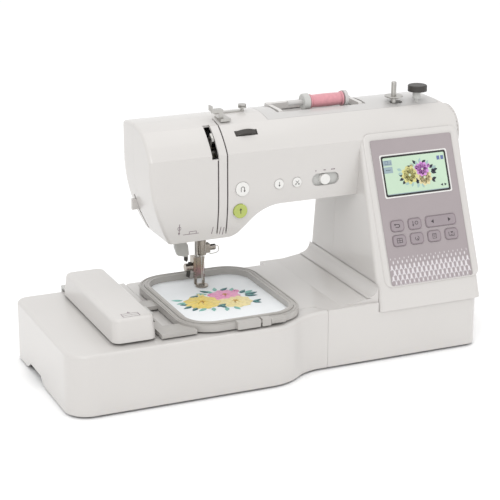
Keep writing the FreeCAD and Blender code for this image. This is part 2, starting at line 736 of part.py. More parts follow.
bar_web = box(needle_x + 19.5, needle_x + 30, needle_y + 9, needle_y + 17, head_z + 6, shaft_z + 28)
lever_lug = box(needle_x + 26, needle_x + 30, needle_y + 16, lever_y + 4, head_z + 35, head_z + 45)
lever_pin = rod((lever_x - 5, lever_y, head_z + 40), (needle_x + 27, lever_y, head_z + 40), 1.5)
take_pin = rod((needle_x - 7, arm_front + 30, crease_z - 12), (needle_x + 24, arm_front + 30, crease_z - 12), 1.5)
take_lug = box(needle_x + 22, needle_x + 30, arm_front + 26, shaft_y - 8, crease_z - 16, crease_z - 8)
dial_end = dial_centre + dial_axis * 9
dial_pin = rod(dial_centre - dial_axis * 5, dial_end, 2.5)
dial_arm = box(needle_x + 4, dial_x + 4, dial_end.y - 2, dial_end.y + 5, dial_end.z - 1.5, dial_end.z + 3)
dial_arm = dial_arm.fuse(box(needle_x + 4, needle_x + 8, dial_end.y, needle_y - 5, dial_end.z - 1.5, dial_end.z + 3))
lower_shaft_y = hook_y + 19.3
floor_z = free_arm_bottom + wall + 0.2
lower_web = box(needle_x + 20, needle_x + 26, hook_y + 4, lower_shaft_y + 15, floor_z, lower_shaft_z + 9)
lower_beam = box(needle_x + 20, frame_x + 2, lower_shaft_y + 11, lower_shaft_y + 15, floor_z, lower_shaft_z + 9)
hook_post = box(needle_x + 8, needle_x + 26, hook_y - 6, hook_y + 6, floor_z, lower_shaft_z - 6)
hook_post = hook_post.fuse(box(needle_x - 8, needle_x + 26, hook_y - 5, hook_y + 5, floor_z, floor_z + 5))
frame = join(base_plate, post, arm_beam, head_web, right_web, right_beam, bar_web, lower_web, lower_beam,
             hook_post, lever_lug, lever_pin, take_pin, take_lug, dial_pin, dial_arm, *guides)
frame = frame.cut(rod((needle_x + 20, shaft_y, shaft_z), (timing_x, shaft_y, shaft_z), shaft_radius + running))
frame = frame.cut(rod((needle_x + 10, lower_shaft_y, lower_shaft_z), (timing_x, lower_shaft_y, lower_shaft_z),
                      lower_shaft_radius + running))
frame = frame.cut(rod((needle_x, needle_y, head_z), (needle_x, needle_y, top_z), needle_bar_radius + running))
frame = frame.cut(rod((needle_x, needle_y + presser_back, head_z), (needle_x, needle_y + presser_back, top_z),
                      presser_bar_radius + running))
frame = frame.cut(rod((needle_x, hook_y, floor_z - 1), (needle_x, hook_y, floor_z + 9), 3.0 + running))
save("main_frame", frame)

shaft = rod((needle_x + 9, shaft_y, shaft_z), (column_right_foot + 20, shaft_y, shaft_z), shaft_radius)
crank = rod((needle_x + 12, shaft_y, shaft_z), (needle_x + 18, shaft_y, shaft_z), 17.0)
crank = crank.cut(box(needle_x + 11, needle_x + 19, shaft_y - 20, shaft_y + 20, shaft_z + 6, shaft_z + 20).cut(
    rod((needle_x + 11, shaft_y, shaft_z), (needle_x + 19, shaft_y, shaft_z), 9.0)))
crank_pin = rod((needle_x + 7, shaft_y, shaft_z - 12), (needle_x + 13, shaft_y, shaft_z - 12), 2.5)
shaft = join(shaft, crank, crank_pin)


def pulley(x0, x1, y, z, radius, teeth):
    """A timing pulley with flanges and straight teeth."""
    body = rod((x0, y, z), (x1, y, z), radius)
    grooves = []
    for number in range(teeth):
        angle = 2 * math.pi * number / teeth
        cy, cz = y + radius * math.cos(angle), z + radius * math.sin(angle)
        grooves.append(rod((x0 + 1, cy, cz), (x1 - 1, cy, cz), 0.22 * math.pi * radius / teeth * 2))
    flanges = [rod((x0, y, z), (x0 + 1, y, z), radius + 1.5), rod((x1 - 1, y, z), (x1, y, z), radius + 1.5)]
    return body.cut(Part.makeCompound(grooves)).multiFuse(flanges)


def belt(x0, x1, first, second, thick):
    """A belt round two pulleys, each given as (y, z, radius) with the belt's clearance added."""
    def loop(grow):
        (y0, z0, r0), (y1, z1, r1) = first, second
        r0, r1 = r0 + grow, r1 + grow
        span = math.hypot(y1 - y0, z1 - z0)
        heading = math.atan2(z1 - z0, y1 - y0)
        tilt = math.acos((r0 - r1) / span)
        points = []
        for y, z, radius in ((y0, z0, r0), (y1, z1, r1)):
            for side in (1, -1):
                angle = heading + side * tilt
                points.append((y + radius * math.cos(angle), z + radius * math.sin(angle)))
        far0 = (y0 - r0 * math.cos(heading), z0 - r0 * math.sin(heading))
        far1 = (y1 + r1 * math.cos(heading), z1 + r1 * math.sin(heading))
        return prism_x([points[0], ("arc", far0, points[1]), points[3], ("arc", far1, points[2]), points[0]], x0, x1)
    return loop(thick).cut(loop(0.0))


shaft = shaft.fuse(pulley(belt_x - 5, belt_x + 5, shaft_y, shaft_z, main_pulley, 42))
shaft = shaft.fuse(pulley(timing_x + 1, timing_x + 9, shaft_y, shaft_z, timing_pulley, 20))
save("main_shaft", shaft)
lower = rod((needle_x - 8, lower_shaft_y, lower_shaft_z), (timing_x + 12, lower_shaft_y, lower_shaft_z), lower_shaft_radius)
lower = lower.fuse(pulley(timing_x + 1, timing_x + 9, lower_shaft_y, lower_shaft_z, timing_pulley, 20))
drive_gear = 12.6
hook_gear = drive_gear / 2


def gear_x(x0, x1, y, z, radius, teeth):
    body = rod((x0, y, z), (x1, y, z), radius)
    notches = []
    for number in range(teeth):
        angle = 2 * math.pi * (number + 0.5) / teeth
        cy, cz = y + radius * math.cos(angle), z + radius * math.sin(angle)
        notches.append(rod((x0 - 1, cy, cz), (x1 + 1, cy, cz), 0.45 * math.pi * radius / teeth))
    return body.cut(Part.makeCompound(notches))


lower = lower.fuse(gear_x(needle_x - 6, needle_x + 6, lower_shaft_y, lower_shaft_z, drive_gear, 28))
save("lower_shaft", lower)
motor_body = rod((belt_x - 50, motor_y, motor_z), (belt_x - 12, motor_y, motor_z), motor_radius)
motor_boss = rod((belt_x - 12, motor_y, motor_z), (belt_x - 8, motor_y, motor_z), 9.0)
motor_foot = box(belt_x - 44, belt_x - 20, motor_y - 14, motor_y + 14, plate_z, motor_z - 14)
motor = join(motor_body, motor_boss, motor_foot)
motor = motor.cut(rod((belt_x - 30, motor_y, motor_z), (belt_x, motor_y, motor_z), 3.0 + running))
save("drive_motor", motor)
armature = rod((belt_x - 29, motor_y, motor_z), (belt_x + 6, motor_y, motor_z), 3.0)
save("motor_pulley", armature.fuse(pulley(belt_x - 5, belt_x + 5, motor_y, motor_z, motor_pulley_radius, 14)))
motor_belt = belt(belt_x - 3.6, belt_x + 3.6, (shaft_y, shaft_z, main_pulley + 0.15),
                  (motor_y, motor_z, motor_pulley_radius + 0.15), 1.2)
timing_belt = belt(timing_x + 2.4, timing_x + 7.6, (shaft_y, shaft_z, timing_pulley + 0.15),
                   (lower_shaft_y, lower_shaft_z, timing_pulley + 0.15), 1.2)
save("drive_belts", Part.makeCompound([motor_belt, timing_belt]))

wheel_x = column_right(shaft_z) + 1.6
wheel = rod((wheel_x, shaft_y, shaft_z), (wheel_x + handwheel_width, shaft_y, shaft_z), handwheel_radius)
wheel = round_edges(wheel, 3.0, lambda bound: bound.XMin > wheel_x + handwheel_width - 0.01)
flutes = []
for number in range(40):
    angle = 2 * math.pi * number / 40
    cy, cz = shaft_y + (handwheel_radius + 0.7) * math.cos(angle), shaft_z + (handwheel_radius + 0.7) * math.sin(angle)
    flutes.append(rod((wheel_x - 1, cy, cz), (wheel_x + handwheel_width - 3, cy, cz), 1.5))
wheel = wheel.cut(Part.makeCompound(flutes))
wheel = wheel.cut(rod((wheel_x + handwheel_width - 2.0, shaft_y, shaft_z),
                      (wheel_x + handwheel_width + 1, shaft_y, shaft_z), handwheel_radius - 9))
wheel = wheel.cut(rod((wheel_x - 1, shaft_y, shaft_z), (column_right_foot + 20, shaft_y, shaft_z), shaft_radius))
save("handwheel", wheel)

# ---------------------------------------------------------------- sockets and switch on the right side
side_x = column_right(inlet_z)


def side_piece(name, deep):
    y0, y1, z0, z1 = side_places[name]
    return box(side_x - deep, side_x + 0.3, y0 + gap, y1 - gap, z0 + gap, z1 - gap)


inlet = side_piece("power_inlet", 12.0)
inlet = inlet.cut(box(side_x - 9, side_x + 5, inlet_y - 8, inlet_y + 8, inlet_z - 4.5, inlet_z + 4.5))
for offset in (-4.0, 4.0):
    inlet = inlet.fuse(rod((side_x - 10, inlet_y + offset, inlet_z), (side_x - 3, inlet_y + offset, inlet_z), 1.1))
save("side_sockets", inlet)
sy0, sy1, sz0, sz1 = side_places["power_switch"]
switch_y, switch_z = (sy0 + sy1) / 2, (sz0 + sz1) / 2
switch_x = side_x - 9.0
rocker = prism_y([
    (switch_x - 3, switch_z - 8), (side_x - 1.5, switch_z - 11.4), (side_x - 0.2, switch_z),
    (side_x + 1.6, switch_z + 11.4), (switch_x - 3, switch_z + 8), (switch_x - 3, switch_z - 8)], sy0 + 1, sy1 - 1)
pivot = rod((switch_x, sy0 + gap, switch_z), (switch_x, sy1 - gap, switch_z), 2.0)
save("power_switch", rocker.fuse(pivot))

# ---------------------------------------------------------------- hook, bobbin case and bobbin
hook_z = deck_z - 23.0
hook = rod((needle_x, hook_y, hook_z), (needle_x, hook_y, deck_z - 8.5), hook_radius)
hook = hook.cut(rod((needle_x, hook_y, hook_z + 3), (needle_x, hook_y, deck_z), hook_radius - 1.6))
beak = box(needle_x - 30, needle_x + 30, hook_y - 30, hook_y - hook_radius + 4, deck_z - 13, deck_z)
hook = hook.cut(beak)
spindle = rod((needle_x, hook_y, floor_z + 0.5), (needle_x, hook_y, hook_z + 1), 3.0)
pinion = rod((needle_x, hook_y, lower_shaft_z - 5), (needle_x, hook_y, lower_shaft_z + 5), hook_gear)
notches = []
for number in range(14):
    angle = 2 * math.pi * number / 14
    notches.append(rod((needle_x + hook_gear * math.cos(angle), hook_y + hook_gear * math.sin(angle), 0),
                       (needle_x + hook_gear * math.cos(angle), hook_y + hook_gear * math.sin(angle), deck_z), 0.65))
pinion = pinion.cut(Part.makeCompound(notches))
save("rotary_hook", join(hook, spindle, pinion))
case = rod((needle_x, hook_y, hook_z + 3.4), (needle_x, hook_y, deck_z - 5.0), hook_radius - 2.2)
case = case.cut(rod((needle_x, hook_y, hook_z + 5.0), (needle_x, hook_y, deck_z), bobbin_radius + 0.8))
case = case.cut(box(needle_x - 4, needle_x + 4, hook_y + bobbin_radius - 2, needle_y + 5, hook_z, deck_z))
save("bobbin_case", case)
bobbin_z = hook_z + 5.2
bobbin = tube((needle_x, hook_y, bobbin_z), (needle_x, hook_y, bobbin_z + 11.4), 5.0, 3.0)
for low in (0.0, 10.4):
    bobbin = bobbin.fuse(tube((needle_x, hook_y, bobbin_z + low), (needle_x, hook_y, bobbin_z + low + 1.0), bobbin_radius, 3.0))
thread = tube((needle_x, hook_y, bobbin_z + 1), (needle_x, hook_y, bobbin_z + 10.4), bobbin_radius - 1.8, 4.5)
save("bobbin", bobbin.fuse(thread))

# ---------------------------------------------------------------- needle bar, needle and foot
clamp_z = fabric_top + 44.0
bar = rod((needle_x, needle_y, clamp_z + 3), (needle_x, needle_y, top_z - 12), needle_bar_radius)
bar_collar = box(needle_x - 5, needle_x + 6, needle_y - 5.5, needle_y + 5, shaft_z - 12, shaft_z - 2)
save("needle_bar", bar.fuse(bar_collar))
clamp = rod((needle_x, needle_y, clamp_z - 6), (needle_x, needle_y, clamp_z + 11), 5.4)
clamp = clamp.fuse(box(needle_x - 4.2, needle_x + 9, needle_y - 4.2, needle_y + 4.2, clamp_z - 4, clamp_z + 6))
clamp = clamp.fuse(rod((needle_x + 9, needle_y, clamp_z + 1), (needle_x + 16, needle_y, clamp_z + 1), 3.4))
clamp = clamp.cut(rod((needle_x, needle_y, clamp_z + 3), (needle_x, needle_y, clamp_z + 12), needle_bar_radius))
clamp = clamp.cut(rod((needle_x, needle_y, clamp_z - 7), (needle_x, needle_y, clamp_z + 2.5), 1.0))
save("needle_clamp", clamp)
needle_tip = fabric_top + 6.0
needle = rod((needle_x, needle_y, needle_tip + 4), (needle_x, needle_y, clamp_z - 8), needle_radius)
point = Part.makeCone(0.08, needle_radius, 4.0, V(needle_x, needle_y, needle_tip))
shank = rod((needle_x, needle_y, clamp_z - 8), (needle_x, needle_y, clamp_z + 2.5), 1.0)
save("needle", join(needle, point, shank))

bar_y = needle_y + presser_back
foot_top = fabric_top + 24.0
bar = rod((needle_x, bar_y, fabric_top + 14), (needle_x, bar_y, shaft_z + 26), presser_bar_radius)
bar_bracket = box(needle_x - 5, needle_x + 5, bar_y - 4.5, bar_y + 5.5, head_z + 36, head_z + 46)
save("presser_bar", bar.fuse(bar_bracket))
spring_low, spring_high = head_z + 46.4, shaft_z + 19.0
save("presser_spring", tube((needle_x, bar_y, spring_low), (needle_x, bar_y, spring_high), 5.2, presser_bar_radius + 0.5))
holder = box(needle_x - 6.5, needle_x + 6.5, bar_y - 5, bar_y + 5.5, fabric_top + 15, foot_top + 8)
holder = holder.cut(rod((needle_x, bar_y, 0), (needle_x, bar_y, top_z), presser_bar_radius))
stem = box(needle_x - 4.5, needle_x + 4.5, bar_y - 5, bar_y + 1, fabric_top + 7, fabric_top + 15.5)
stem = stem.fuse(box(needle_x - 6, needle_x - 3.5, needle_y + 6.2, bar_y - 4, fabric_top + 0.9, fabric_top + 12))
stem = stem.fuse(box(needle_x + 3.5, needle_x + 6, needle_y + 6.2, bar_y - 4, fabric_top + 0.9, fabric_top + 12))
ring = tube((needle_x, needle_y, fabric_top + gap), (needle_x, needle_y, fabric_top + 2.0), 7.2, 3.4)
thumb = rod((needle_x - 6.5, bar_y, fabric_top + 20), (needle_x - 15, bar_y, fabric_top + 20), 4.6)
foot = join(holder, stem, ring, thumb)
save("embroidery_foot", foot.cut(bar))

lever_z = head_z + 40.0
lever = join(rod((lever_x - 3, lever_y, lever_z), (lever_x + 3, lever_y, lever_z), 4.5),
             box(lever_x - 2, lever_x + 2, lever_y - 3, lever_y + 3, head_z - 10, lever_z),
             box(lever_x - 3, lever_x + 3, lever_y - 4.5, lever_y + 9, head_z - 13, head_z - 8))
lever = lever.cut(rod((lever_x - 5, lever_y, lever_z), (lever_x + 5, lever_y, lever_z), 1.5 + running))
save("presser_lever", lever)

take_x = needle_x - 3.0
take_y, take_z = arm_front + 30.0, crease_z - 12.0
take = prism_x([(take_y - 3.5, take_z - 3), (take_y + 3.5, take_z + 2), (arm_front + 14, top_z - 9.5),
                (arm_front + 8.5, top_z - 13.5), (arm_front + 7.5, top_z - 17), (arm_front + 11, top_z - 17.5),
                (take_y - 3.5, take_z - 3)], take_x - 1.2, take_x + 1.2)
take = take.fuse(rod((take_x - 2.4, take_y, take_z), (take_x + 2.4, take_y, take_z), 4.5))
take = take.cut(rod((take_x - 5, arm_front + 11.5, top_z - 13.6), (take_x + 5, arm_front + 11.5, top_z - 13.6), 1.0))
save("take_up_lever", take.cut(rod((take_x - 5, take_y, take_z), (take_x + 5, take_y, take_z), 1.5 + running)))

half = dial_axis * (dial_thick / 2)
dial = rod(dial_centre - half, dial_centre + half, dial_radius)
dial = round_edges(dial, 0.8, lambda bound: bound.XLength > 2 * dial_radius - 1)
save("tension_dial", dial.cut(rod(dial_centre - half * 2, dial_centre + half * 2, 2.5 + running)))

threader_x = head_left(threader_z)
threader = box(threader_x + 2, threader_x + 14, threader_y - 2.1, threader_y + 2.1, threader_z - 8, threader_z + 8)
save("threader_lever", threader.fuse(box(threader_x - 6, threader_x + 4, threader_y - 2.1, threader_y + 2.1,
                                         threader_z - 8, threader_z + 4)))

# ---------------------------------------------------------------- embroidery unit
def unit_plan(inset):
    """The unit seen from above: it wraps the front and the left end of the free arm."""
    left = unit_left + inset
    front = unit_front + inset
    back = unit_back - inset
    flush = base_front + inset
    radius = unit_corner - inset
    bend = radius * (1 - math.sqrt(0.5))
    back_radius = unit_back_corner - inset
    back_bend = back_radius * (1 - math.sqrt(0.5))
    across = unit_curve_end - unit_curve_start
    deep = base_front - unit_front
    curve = (across ** 2 + deep ** 2) / (4 * deep)
    turn = 2 * math.atan2(deep, across)
    first, second = curve - inset, curve + inset
    middle = (unit_curve_start + first * math.sin(turn), unit_front + curve - first * math.cos(turn))
    return [
        (left, front + radius), ("arc", (left + bend, front + bend), (left + radius, front)),
        (unit_curve_start, front),
        ("arc", (unit_curve_start + first * math.sin(turn / 2), unit_front + curve - first * math.cos(turn / 2)), middle),
        ("arc", (unit_curve_end - second * math.sin(turn / 2), base_front - curve + second * math.cos(turn / 2)),
         (unit_curve_end, flush)),
        (base_left - gap - inset, flush), (base_left - gap - inset, base_front + 1.4 + inset),
        (base_left - 10.4 - inset, flare_front - gap - inset), (needle_x + 61.8 - 0.8 * inset, flare_front - gap - inset),
        (needle_x + 39.8 - 0.8 * inset, free_arm_front - gap - inset),
        (free_arm_left - gap - inset, free_arm_front - gap - inset), (free_arm_left - gap - inset, back),
        (left + back_radius, back), ("arc", (left + back_bend, back - back_bend), (left, back - back_radius)),
        (left, front + radius)]


unit = prism_z(unit_plan(0.0), foot_height, deck_z)


def unit_top_rim(bound):
    if not level(deck_z)(bound):
        return False
    outside = bound.XMax < unit_left + unit_corner + 0.01 or bound.YMax < base_front + 0.01
    return outside or bound.YMin > unit_back - 0.01


unit = round_edges(unit, 3.5, unit_top_rim)
unit = unit.cut(prism_z(unit_plan(wall), 0, deck_z - wall))
tail_left = carriage_left + 4.0
tail_right = tail_left + 10.0
tail_z = deck_z - 23.0
tail_back = unit_back + 1.0
unit = unit.cut(box(tail_left - carriage_travel - 1.0, tail_right + carriage_travel + 1.0,
                    unit_back - unit_back_corner, unit_back + 5, tail_z - 1.0, tail_z + 4.0))
grip_front = unit_front + 92.0
grip_back = unit_back - 40.0
recess = prism_x([
    (grip_front, 0), (grip_front, foot_height), ("arc", (grip_front + 9, foot_height + 3), (grip_front + 16, foot_height + 8)),
    (grip_back - 16, foot_height + 8), ("arc", (grip_back - 9, foot_height + 3), (grip_back, foot_height)),
    (grip_back, 0), (grip_front, 0)], unit_left - 5, unit_left + 12)
unit = unit.cut(recess)
save("unit_cover", unit)

rail_z = deck_z - 33.0
rail_ys = (unit_back - 40.0, unit_back - 20.0)
rail_left = unit_left + wall + 0.4
rail_right = free_arm_left - gap - wall - 0.4
chassis = prism_z(unit_plan(wall + gap), foot_height, foot_height + 2.0)
chassis = chassis.cut(box(unit_left - 5, unit_left + 13, grip_front, grip_back, 0, deck_z))
for x in (rail_left, rail_right - 2.2):
    chassis = chassis.fuse(box(x, x + 2.2, rail_ys[0] - 7, rail_ys[1] + 6, foot_height, rail_z + 7))
for y in rail_ys:
    chassis = chassis.fuse(rod((rail_left, y, rail_z), (rail_right, y, rail_z), rail_radius))
chassis = chassis.fuse(box(rail_left, rail_left + 14, rail_ys[0] - 7, rail_ys[1] + 6, foot_height, foot_height + 2.0))
save("unit_chassis", chassis)

# ---------------------------------------------------------------- carriage
slide_x = carriage_right - 12.0
slide_z = carriage_z + 11.0
slide_front = carriage_front + 9.5
slide_back = carriage_back - 4.0
floor = block(carriage_left + wall + gap, carriage_right - wall - gap, carriage_front + wall + 3 * gap,
              carriage_back - wall - gap, carriage_z, carriage_z + 2.0, 9.0 - wall)
tail = box(tail_left, tail_right, carriage_back - 12, tail_back + 4, carriage_z, carriage_z + 2.0)
tail = join(tail, box(tail_left, tail_right, tail_back, tail_back + 4, tail_z, carriage_z + 2.0),
            box(tail_left, tail_right, rail_ys[0] - 6, tail_back + 4, tail_z, tail_z + 3.0),
            box(tail_left, tail_right, rail_ys[0] - 6, rail_ys[1] + 5.5, rail_z - 6, tail_z + 3.0))
rail = rod((slide_x, slide_front, slide_z), (slide_x, slide_back, slide_z), rail_radius)
ends = [box(slide_x - 6, slide_x + 6, y, y + 3, carriage_z, slide_z + 6) for y in (slide_front, slide_back - 3)]
carriage = join(floor, tail, rail, *ends)
for y in rail_ys:
    carriage = carriage.cut(rod((tail_left - 1, y, rail_z), (tail_right + 1, y, rail_z), rail_radius + running))
save("carriage_base", carriage)


def carriage_form(inset):
    rings = []
    for z, lean in ((carriage_z, 0.0), (carriage_top - inset, 2.5)):
        x0, x1 = carriage_left + inset + lean, carriage_right - inset - 0.4 * lean
        y0, y1 = carriage_front + inset + 2.2 * lean, carriage_back - inset - 0.6 * lean
        radius = 9.0 - inset
        bend = radius * (1 - math.sqrt(0.5))
        steps = [
            (x0 + radius, y0), (x1 - radius, y0), ("arc", (x1 - bend, y0 + bend), (x1, y0 + radius)),
            (x1, y1 - radius), ("arc", (x1 - bend, y1 - bend), (x1 - radius, y1)),
            (x0 + radius, y1), ("arc", (x0 + bend, y1 - bend), (x0, y1 - radius)),
            (x0, y0 + radius), ("arc", (x0 + bend, y0 + bend), (x0 + radius, y0))]
        rings.append(outline(steps, lambda x, y: V(x, y, z)))
    return Part.makeLoft(rings, True, True)


case = round_edges(carriage_form(0.0), 4.0, level(carriage_top))
case = case.cut(carriage_form(wall))
case = case.cut(box(carriage_right - 8, carriage_right + 5, carriage_front + 10, carriage_back - 4,
                    slide_z - 4.5, slide_z + 4.5))
case = case.cut(box(tail_left - 0.5, tail_right + 0.5, carriage_back - 8, carriage_back + 5, carriage_z - 1, carriage_z + 2.5))
save("carriage_case", case)

# ---------------------------------------------------------------- hoop and its holder
holder_front = hoop_front + 33.0
holder_back = holder_front + 44.0
holder_face = carriage_right + 4.0
holder = box(slide_x - 8, slide_x + 8, holder_front + 2, holder_back - 2, slide_z - 5.5, slide_z + 5.5)
holder = holder.cut(rod((slide_x, holder_front, slide_z), (slide_x, holder_back, slide_z), rail_radius + running))
holder = holder.fuse(box(slide_x + 7, holder_face - 2.5, holder_front + 12, holder_back - 12, slide_z - 3.5, slide_z + 3.5))
holder = holder.fuse(box(holder_face - 3.2, holder_face, holder_front, holder_back, carriage_z + 1, carriage_z + 15))
for number in range(6):
    y = holder_front + 3 + number * 7.0
    holder = holder.cut(box(holder_face - 2.0, holder_face + 1, y, y + 3, carriage_z + 11, carriage_z + 16))
holder = holder.fuse(rod((holder_face - 1, holder_back - 8, slide_z - 2.5), (holder_face + 7, holder_back - 8, slide_z - 2.5), 1.6))
save("frame_holder", holder)
lever_y0 = holder_back - 8
latch = join(rod((holder_face + 1.0, lever_y0, slide_z - 2.5), (holder_face + 6.0, lever_y0, slide_z - 2.5), 3.6),
             box(holder_face + 1.0, holder_face + 6.0, lever_y0 - 24, lever_y0, slide_z - 1.9, slide_z + 1.1))
latch = latch.cut(rod((holder_face, lever_y0, slide_z - 2.5), (holder_face + 8, lever_y0, slide_z - 2.5), 1.6 + running))
save("holder_lever", latch)

hoop_z = deck_z + hoop_lift
hoop_top = hoop_z + hoop_height


def hoop_block(inset, low, high):
    return block(hoop_left + inset, hoop_right - inset, hoop_front + inset, hoop_back - inset, low, high,
                 hoop_corner - inset)


strip_top = hoop_z + 4.2
slot_left_edge = holder_face + 10.0
strip = box(holder_face, slot_left_edge, hoop_front + 3, holder_back + 32, hoop_z, strip_top)
front_web = box(holder_face, hoop_left + 12, hoop_front + 3, holder_front - 4, hoop_z, strip_top)
back_web = box(holder_face, hoop_left + 3, holder_back + 12, holder_back + 32, hoop_z, strip_top)
ring = hoop_block(0.0, hoop_z, hoop_top)
lug_x = needle_x - 16.0
slit_x = lug_x + 27.0
knob_radius = 4.0
screw_y = hoop_front - 1.6
screw_z = hoop_z + 4.4
lugs = [box(x0, x1, hoop_front - 5.0, hoop_front + 3.0, hoop_z + 0.2, hoop_z + 8.4)
        for x0, x1 in ((lug_x, slit_x - 1), (slit_x + 1, slit_x + 11))]
hoop = join(ring, strip, front_web, back_web, *lugs)
hoop = hoop.cut(hoop_block(hoop_ring, hoop_z - 1, hoop_top + 5))
hoop = hoop.cut(box(slit_x - 1, slit_x + 1, hoop_front - 10, hoop_front + hoop_ring + 1, hoop_z - 1, hoop_top + 5))
hoop = hoop.cut(rod((lug_x + 6, screw_y, screw_z), (slit_x + 12, screw_y, screw_z), 1.6 + running))
hoop = hoop.cut(rod((slit_x + 11.0, screw_y, screw_z), (slit_x + 29.5, screw_y, screw_z), knob_radius + 1.1))
hoop = hoop.cut(box(holder_face - 1, holder_face + 7.5, lever_y0 - 26, lever_y0 + 5, hoop_z + 2.5, hoop_top))
save("hoop_outer", hoop)
inner_ring = hoop_block(hoop_ring + gap, fabric_top, hoop_top + 1.2)
inner_ring = inner_ring.cut(hoop_block(hoop_band, hoop_z, hoop_top + 5))
save("hoop_inner", inner_ring)
screw = rod((lug_x + 7, screw_y, screw_z), (slit_x + 13, screw_y, screw_z), 1.6)
knob = rod((slit_x + 11.4, screw_y, screw_z), (slit_x + 28, screw_y, screw_z), knob_radius)
ribs = []
for number in range(12):
    angle = 2 * math.pi * number / 12
    cy = screw_y + (knob_radius + 0.3) * math.cos(angle)
    cz = screw_z + (knob_radius + 0.3) * math.sin(angle)
    ribs.append(rod((slit_x + 13, cy, cz), (slit_x + 29, cy, cz), 0.8))
save("hoop_screw", screw.fuse(knob.cut(Part.makeCompound(ribs))))
fabric = hoop_block(hoop_ring + gap, fabric_z, fabric_top)
for dx, dy in ((0.0, 0.0), (carriage_travel, 2.0)):
    fabric = fabric.cut(rod((needle_x + dx, needle_y + dy, 0), (needle_x + dx, needle_y + dy, deck_z + 20), 0.9))
save("fabric", fabric)
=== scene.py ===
import json
import math

import bmesh
import bpy
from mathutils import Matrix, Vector
from mathutils.bvhtree import BVHTree


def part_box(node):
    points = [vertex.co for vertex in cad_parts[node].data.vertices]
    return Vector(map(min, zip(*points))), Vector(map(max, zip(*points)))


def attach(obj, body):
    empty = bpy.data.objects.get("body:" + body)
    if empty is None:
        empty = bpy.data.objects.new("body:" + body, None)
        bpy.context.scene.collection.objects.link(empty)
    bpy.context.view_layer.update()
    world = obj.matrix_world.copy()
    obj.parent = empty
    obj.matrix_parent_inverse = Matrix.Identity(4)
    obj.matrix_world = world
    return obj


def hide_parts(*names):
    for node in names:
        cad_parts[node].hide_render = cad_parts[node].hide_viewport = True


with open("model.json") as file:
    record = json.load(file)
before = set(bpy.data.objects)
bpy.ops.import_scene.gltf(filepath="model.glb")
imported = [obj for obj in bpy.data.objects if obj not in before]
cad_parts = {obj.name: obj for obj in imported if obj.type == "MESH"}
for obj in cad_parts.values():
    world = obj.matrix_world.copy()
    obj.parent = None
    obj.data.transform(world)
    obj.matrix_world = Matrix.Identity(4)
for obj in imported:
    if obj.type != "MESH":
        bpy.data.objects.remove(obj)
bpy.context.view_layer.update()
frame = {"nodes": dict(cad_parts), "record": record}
nodes = frame["nodes"]
MM = 0.001


# ---------------------------------------------------------------- materials
def srgb(code):
    """A colour written as #rrggbb, as linear red, green, blue and alpha."""
    parts = [int(code[i:i + 2], 16) / 255 for i in (1, 3, 5)]
    return [p / 12.92 if p <= 0.04045 else ((p + 0.055) / 1.055) ** 2.4 for p in parts] + [1.0]


def surface(name, colour, rough=0.4, metal=0.0, coat=0.0, vary=0.03, patch=30.0, grain=900.0, depth=0.00003,
            sheen=0.0, glow=0.0):
    """A material whose colour, roughness and relief all come from noise in the object's own coordinates."""
    material = bpy.data.materials.new(name)
    material.use_nodes = True
    tree = material.node_tree
    shader = tree.nodes["Principled BSDF"]
    base = srgb(colour)
    place = tree.nodes.new("ShaderNodeTexCoord")
    cloud = tree.nodes.new("ShaderNodeTexNoise")
    cloud.inputs["Scale"].default_value = patch
    cloud.inputs["Detail"].default_value = 3.0
    tree.links.new(place.outputs["Object"], cloud.inputs["Vector"])
    ramp = tree.nodes.new("ShaderNodeValToRGB")
    ramp.color_ramp.elements[0].position = 0.3
    ramp.color_ramp.elements[1].position = 0.7
    ramp.color_ramp.elements[0].color = [c * (1 - vary) for c in base[:3]] + [1.0]
    ramp.color_ramp.elements[1].color = [min(1.0, c * (1 + vary)) for c in base[:3]] + [1.0]
    tree.links.new(cloud.outputs["Fac"], ramp.inputs["Fac"])
    tree.links.new(ramp.outputs["Color"], shader.inputs["Base Color"])
    fine = tree.nodes.new("ShaderNodeTexNoise")
    fine.inputs["Scale"].default_value = grain
    fine.inputs["Detail"].default_value = 2.0
    tree.links.new(place.outputs["Object"], fine.inputs["Vector"])
    spread = tree.nodes.new("ShaderNodeMapRange")
    spread.inputs["To Min"].default_value = max(0.03, rough * 0.85)
    spread.inputs["To Max"].default_value = min(1.0, rough * 1.15)
    tree.links.new(fine.outputs["Fac"], spread.inputs["Value"])
    tree.links.new(spread.outputs["Result"], shader.inputs["Roughness"])
    bump = tree.nodes.new("ShaderNodeBump")
    bump.inputs["Distance"].default_value = depth
    bump.inputs["Strength"].default_value = 0.5
    tree.links.new(fine.outputs["Fac"], bump.inputs["Height"])
    tree.links.new(bump.outputs["Normal"], shader.inputs["Normal"])
    shader.inputs["Metallic"].default_value = metal
    shader.inputs["Coat Weight"].default_value = coat
    shader.inputs["Coat Roughness"].default_value = 0.08
    shader.inputs["Sheen Weight"].default_value = sheen
    if glow:
        tree.links.new(ramp.outputs["Color"], shader.inputs["Emission Color"])
        shader.inputs["Emission Strength"].default_value = glow
    return material


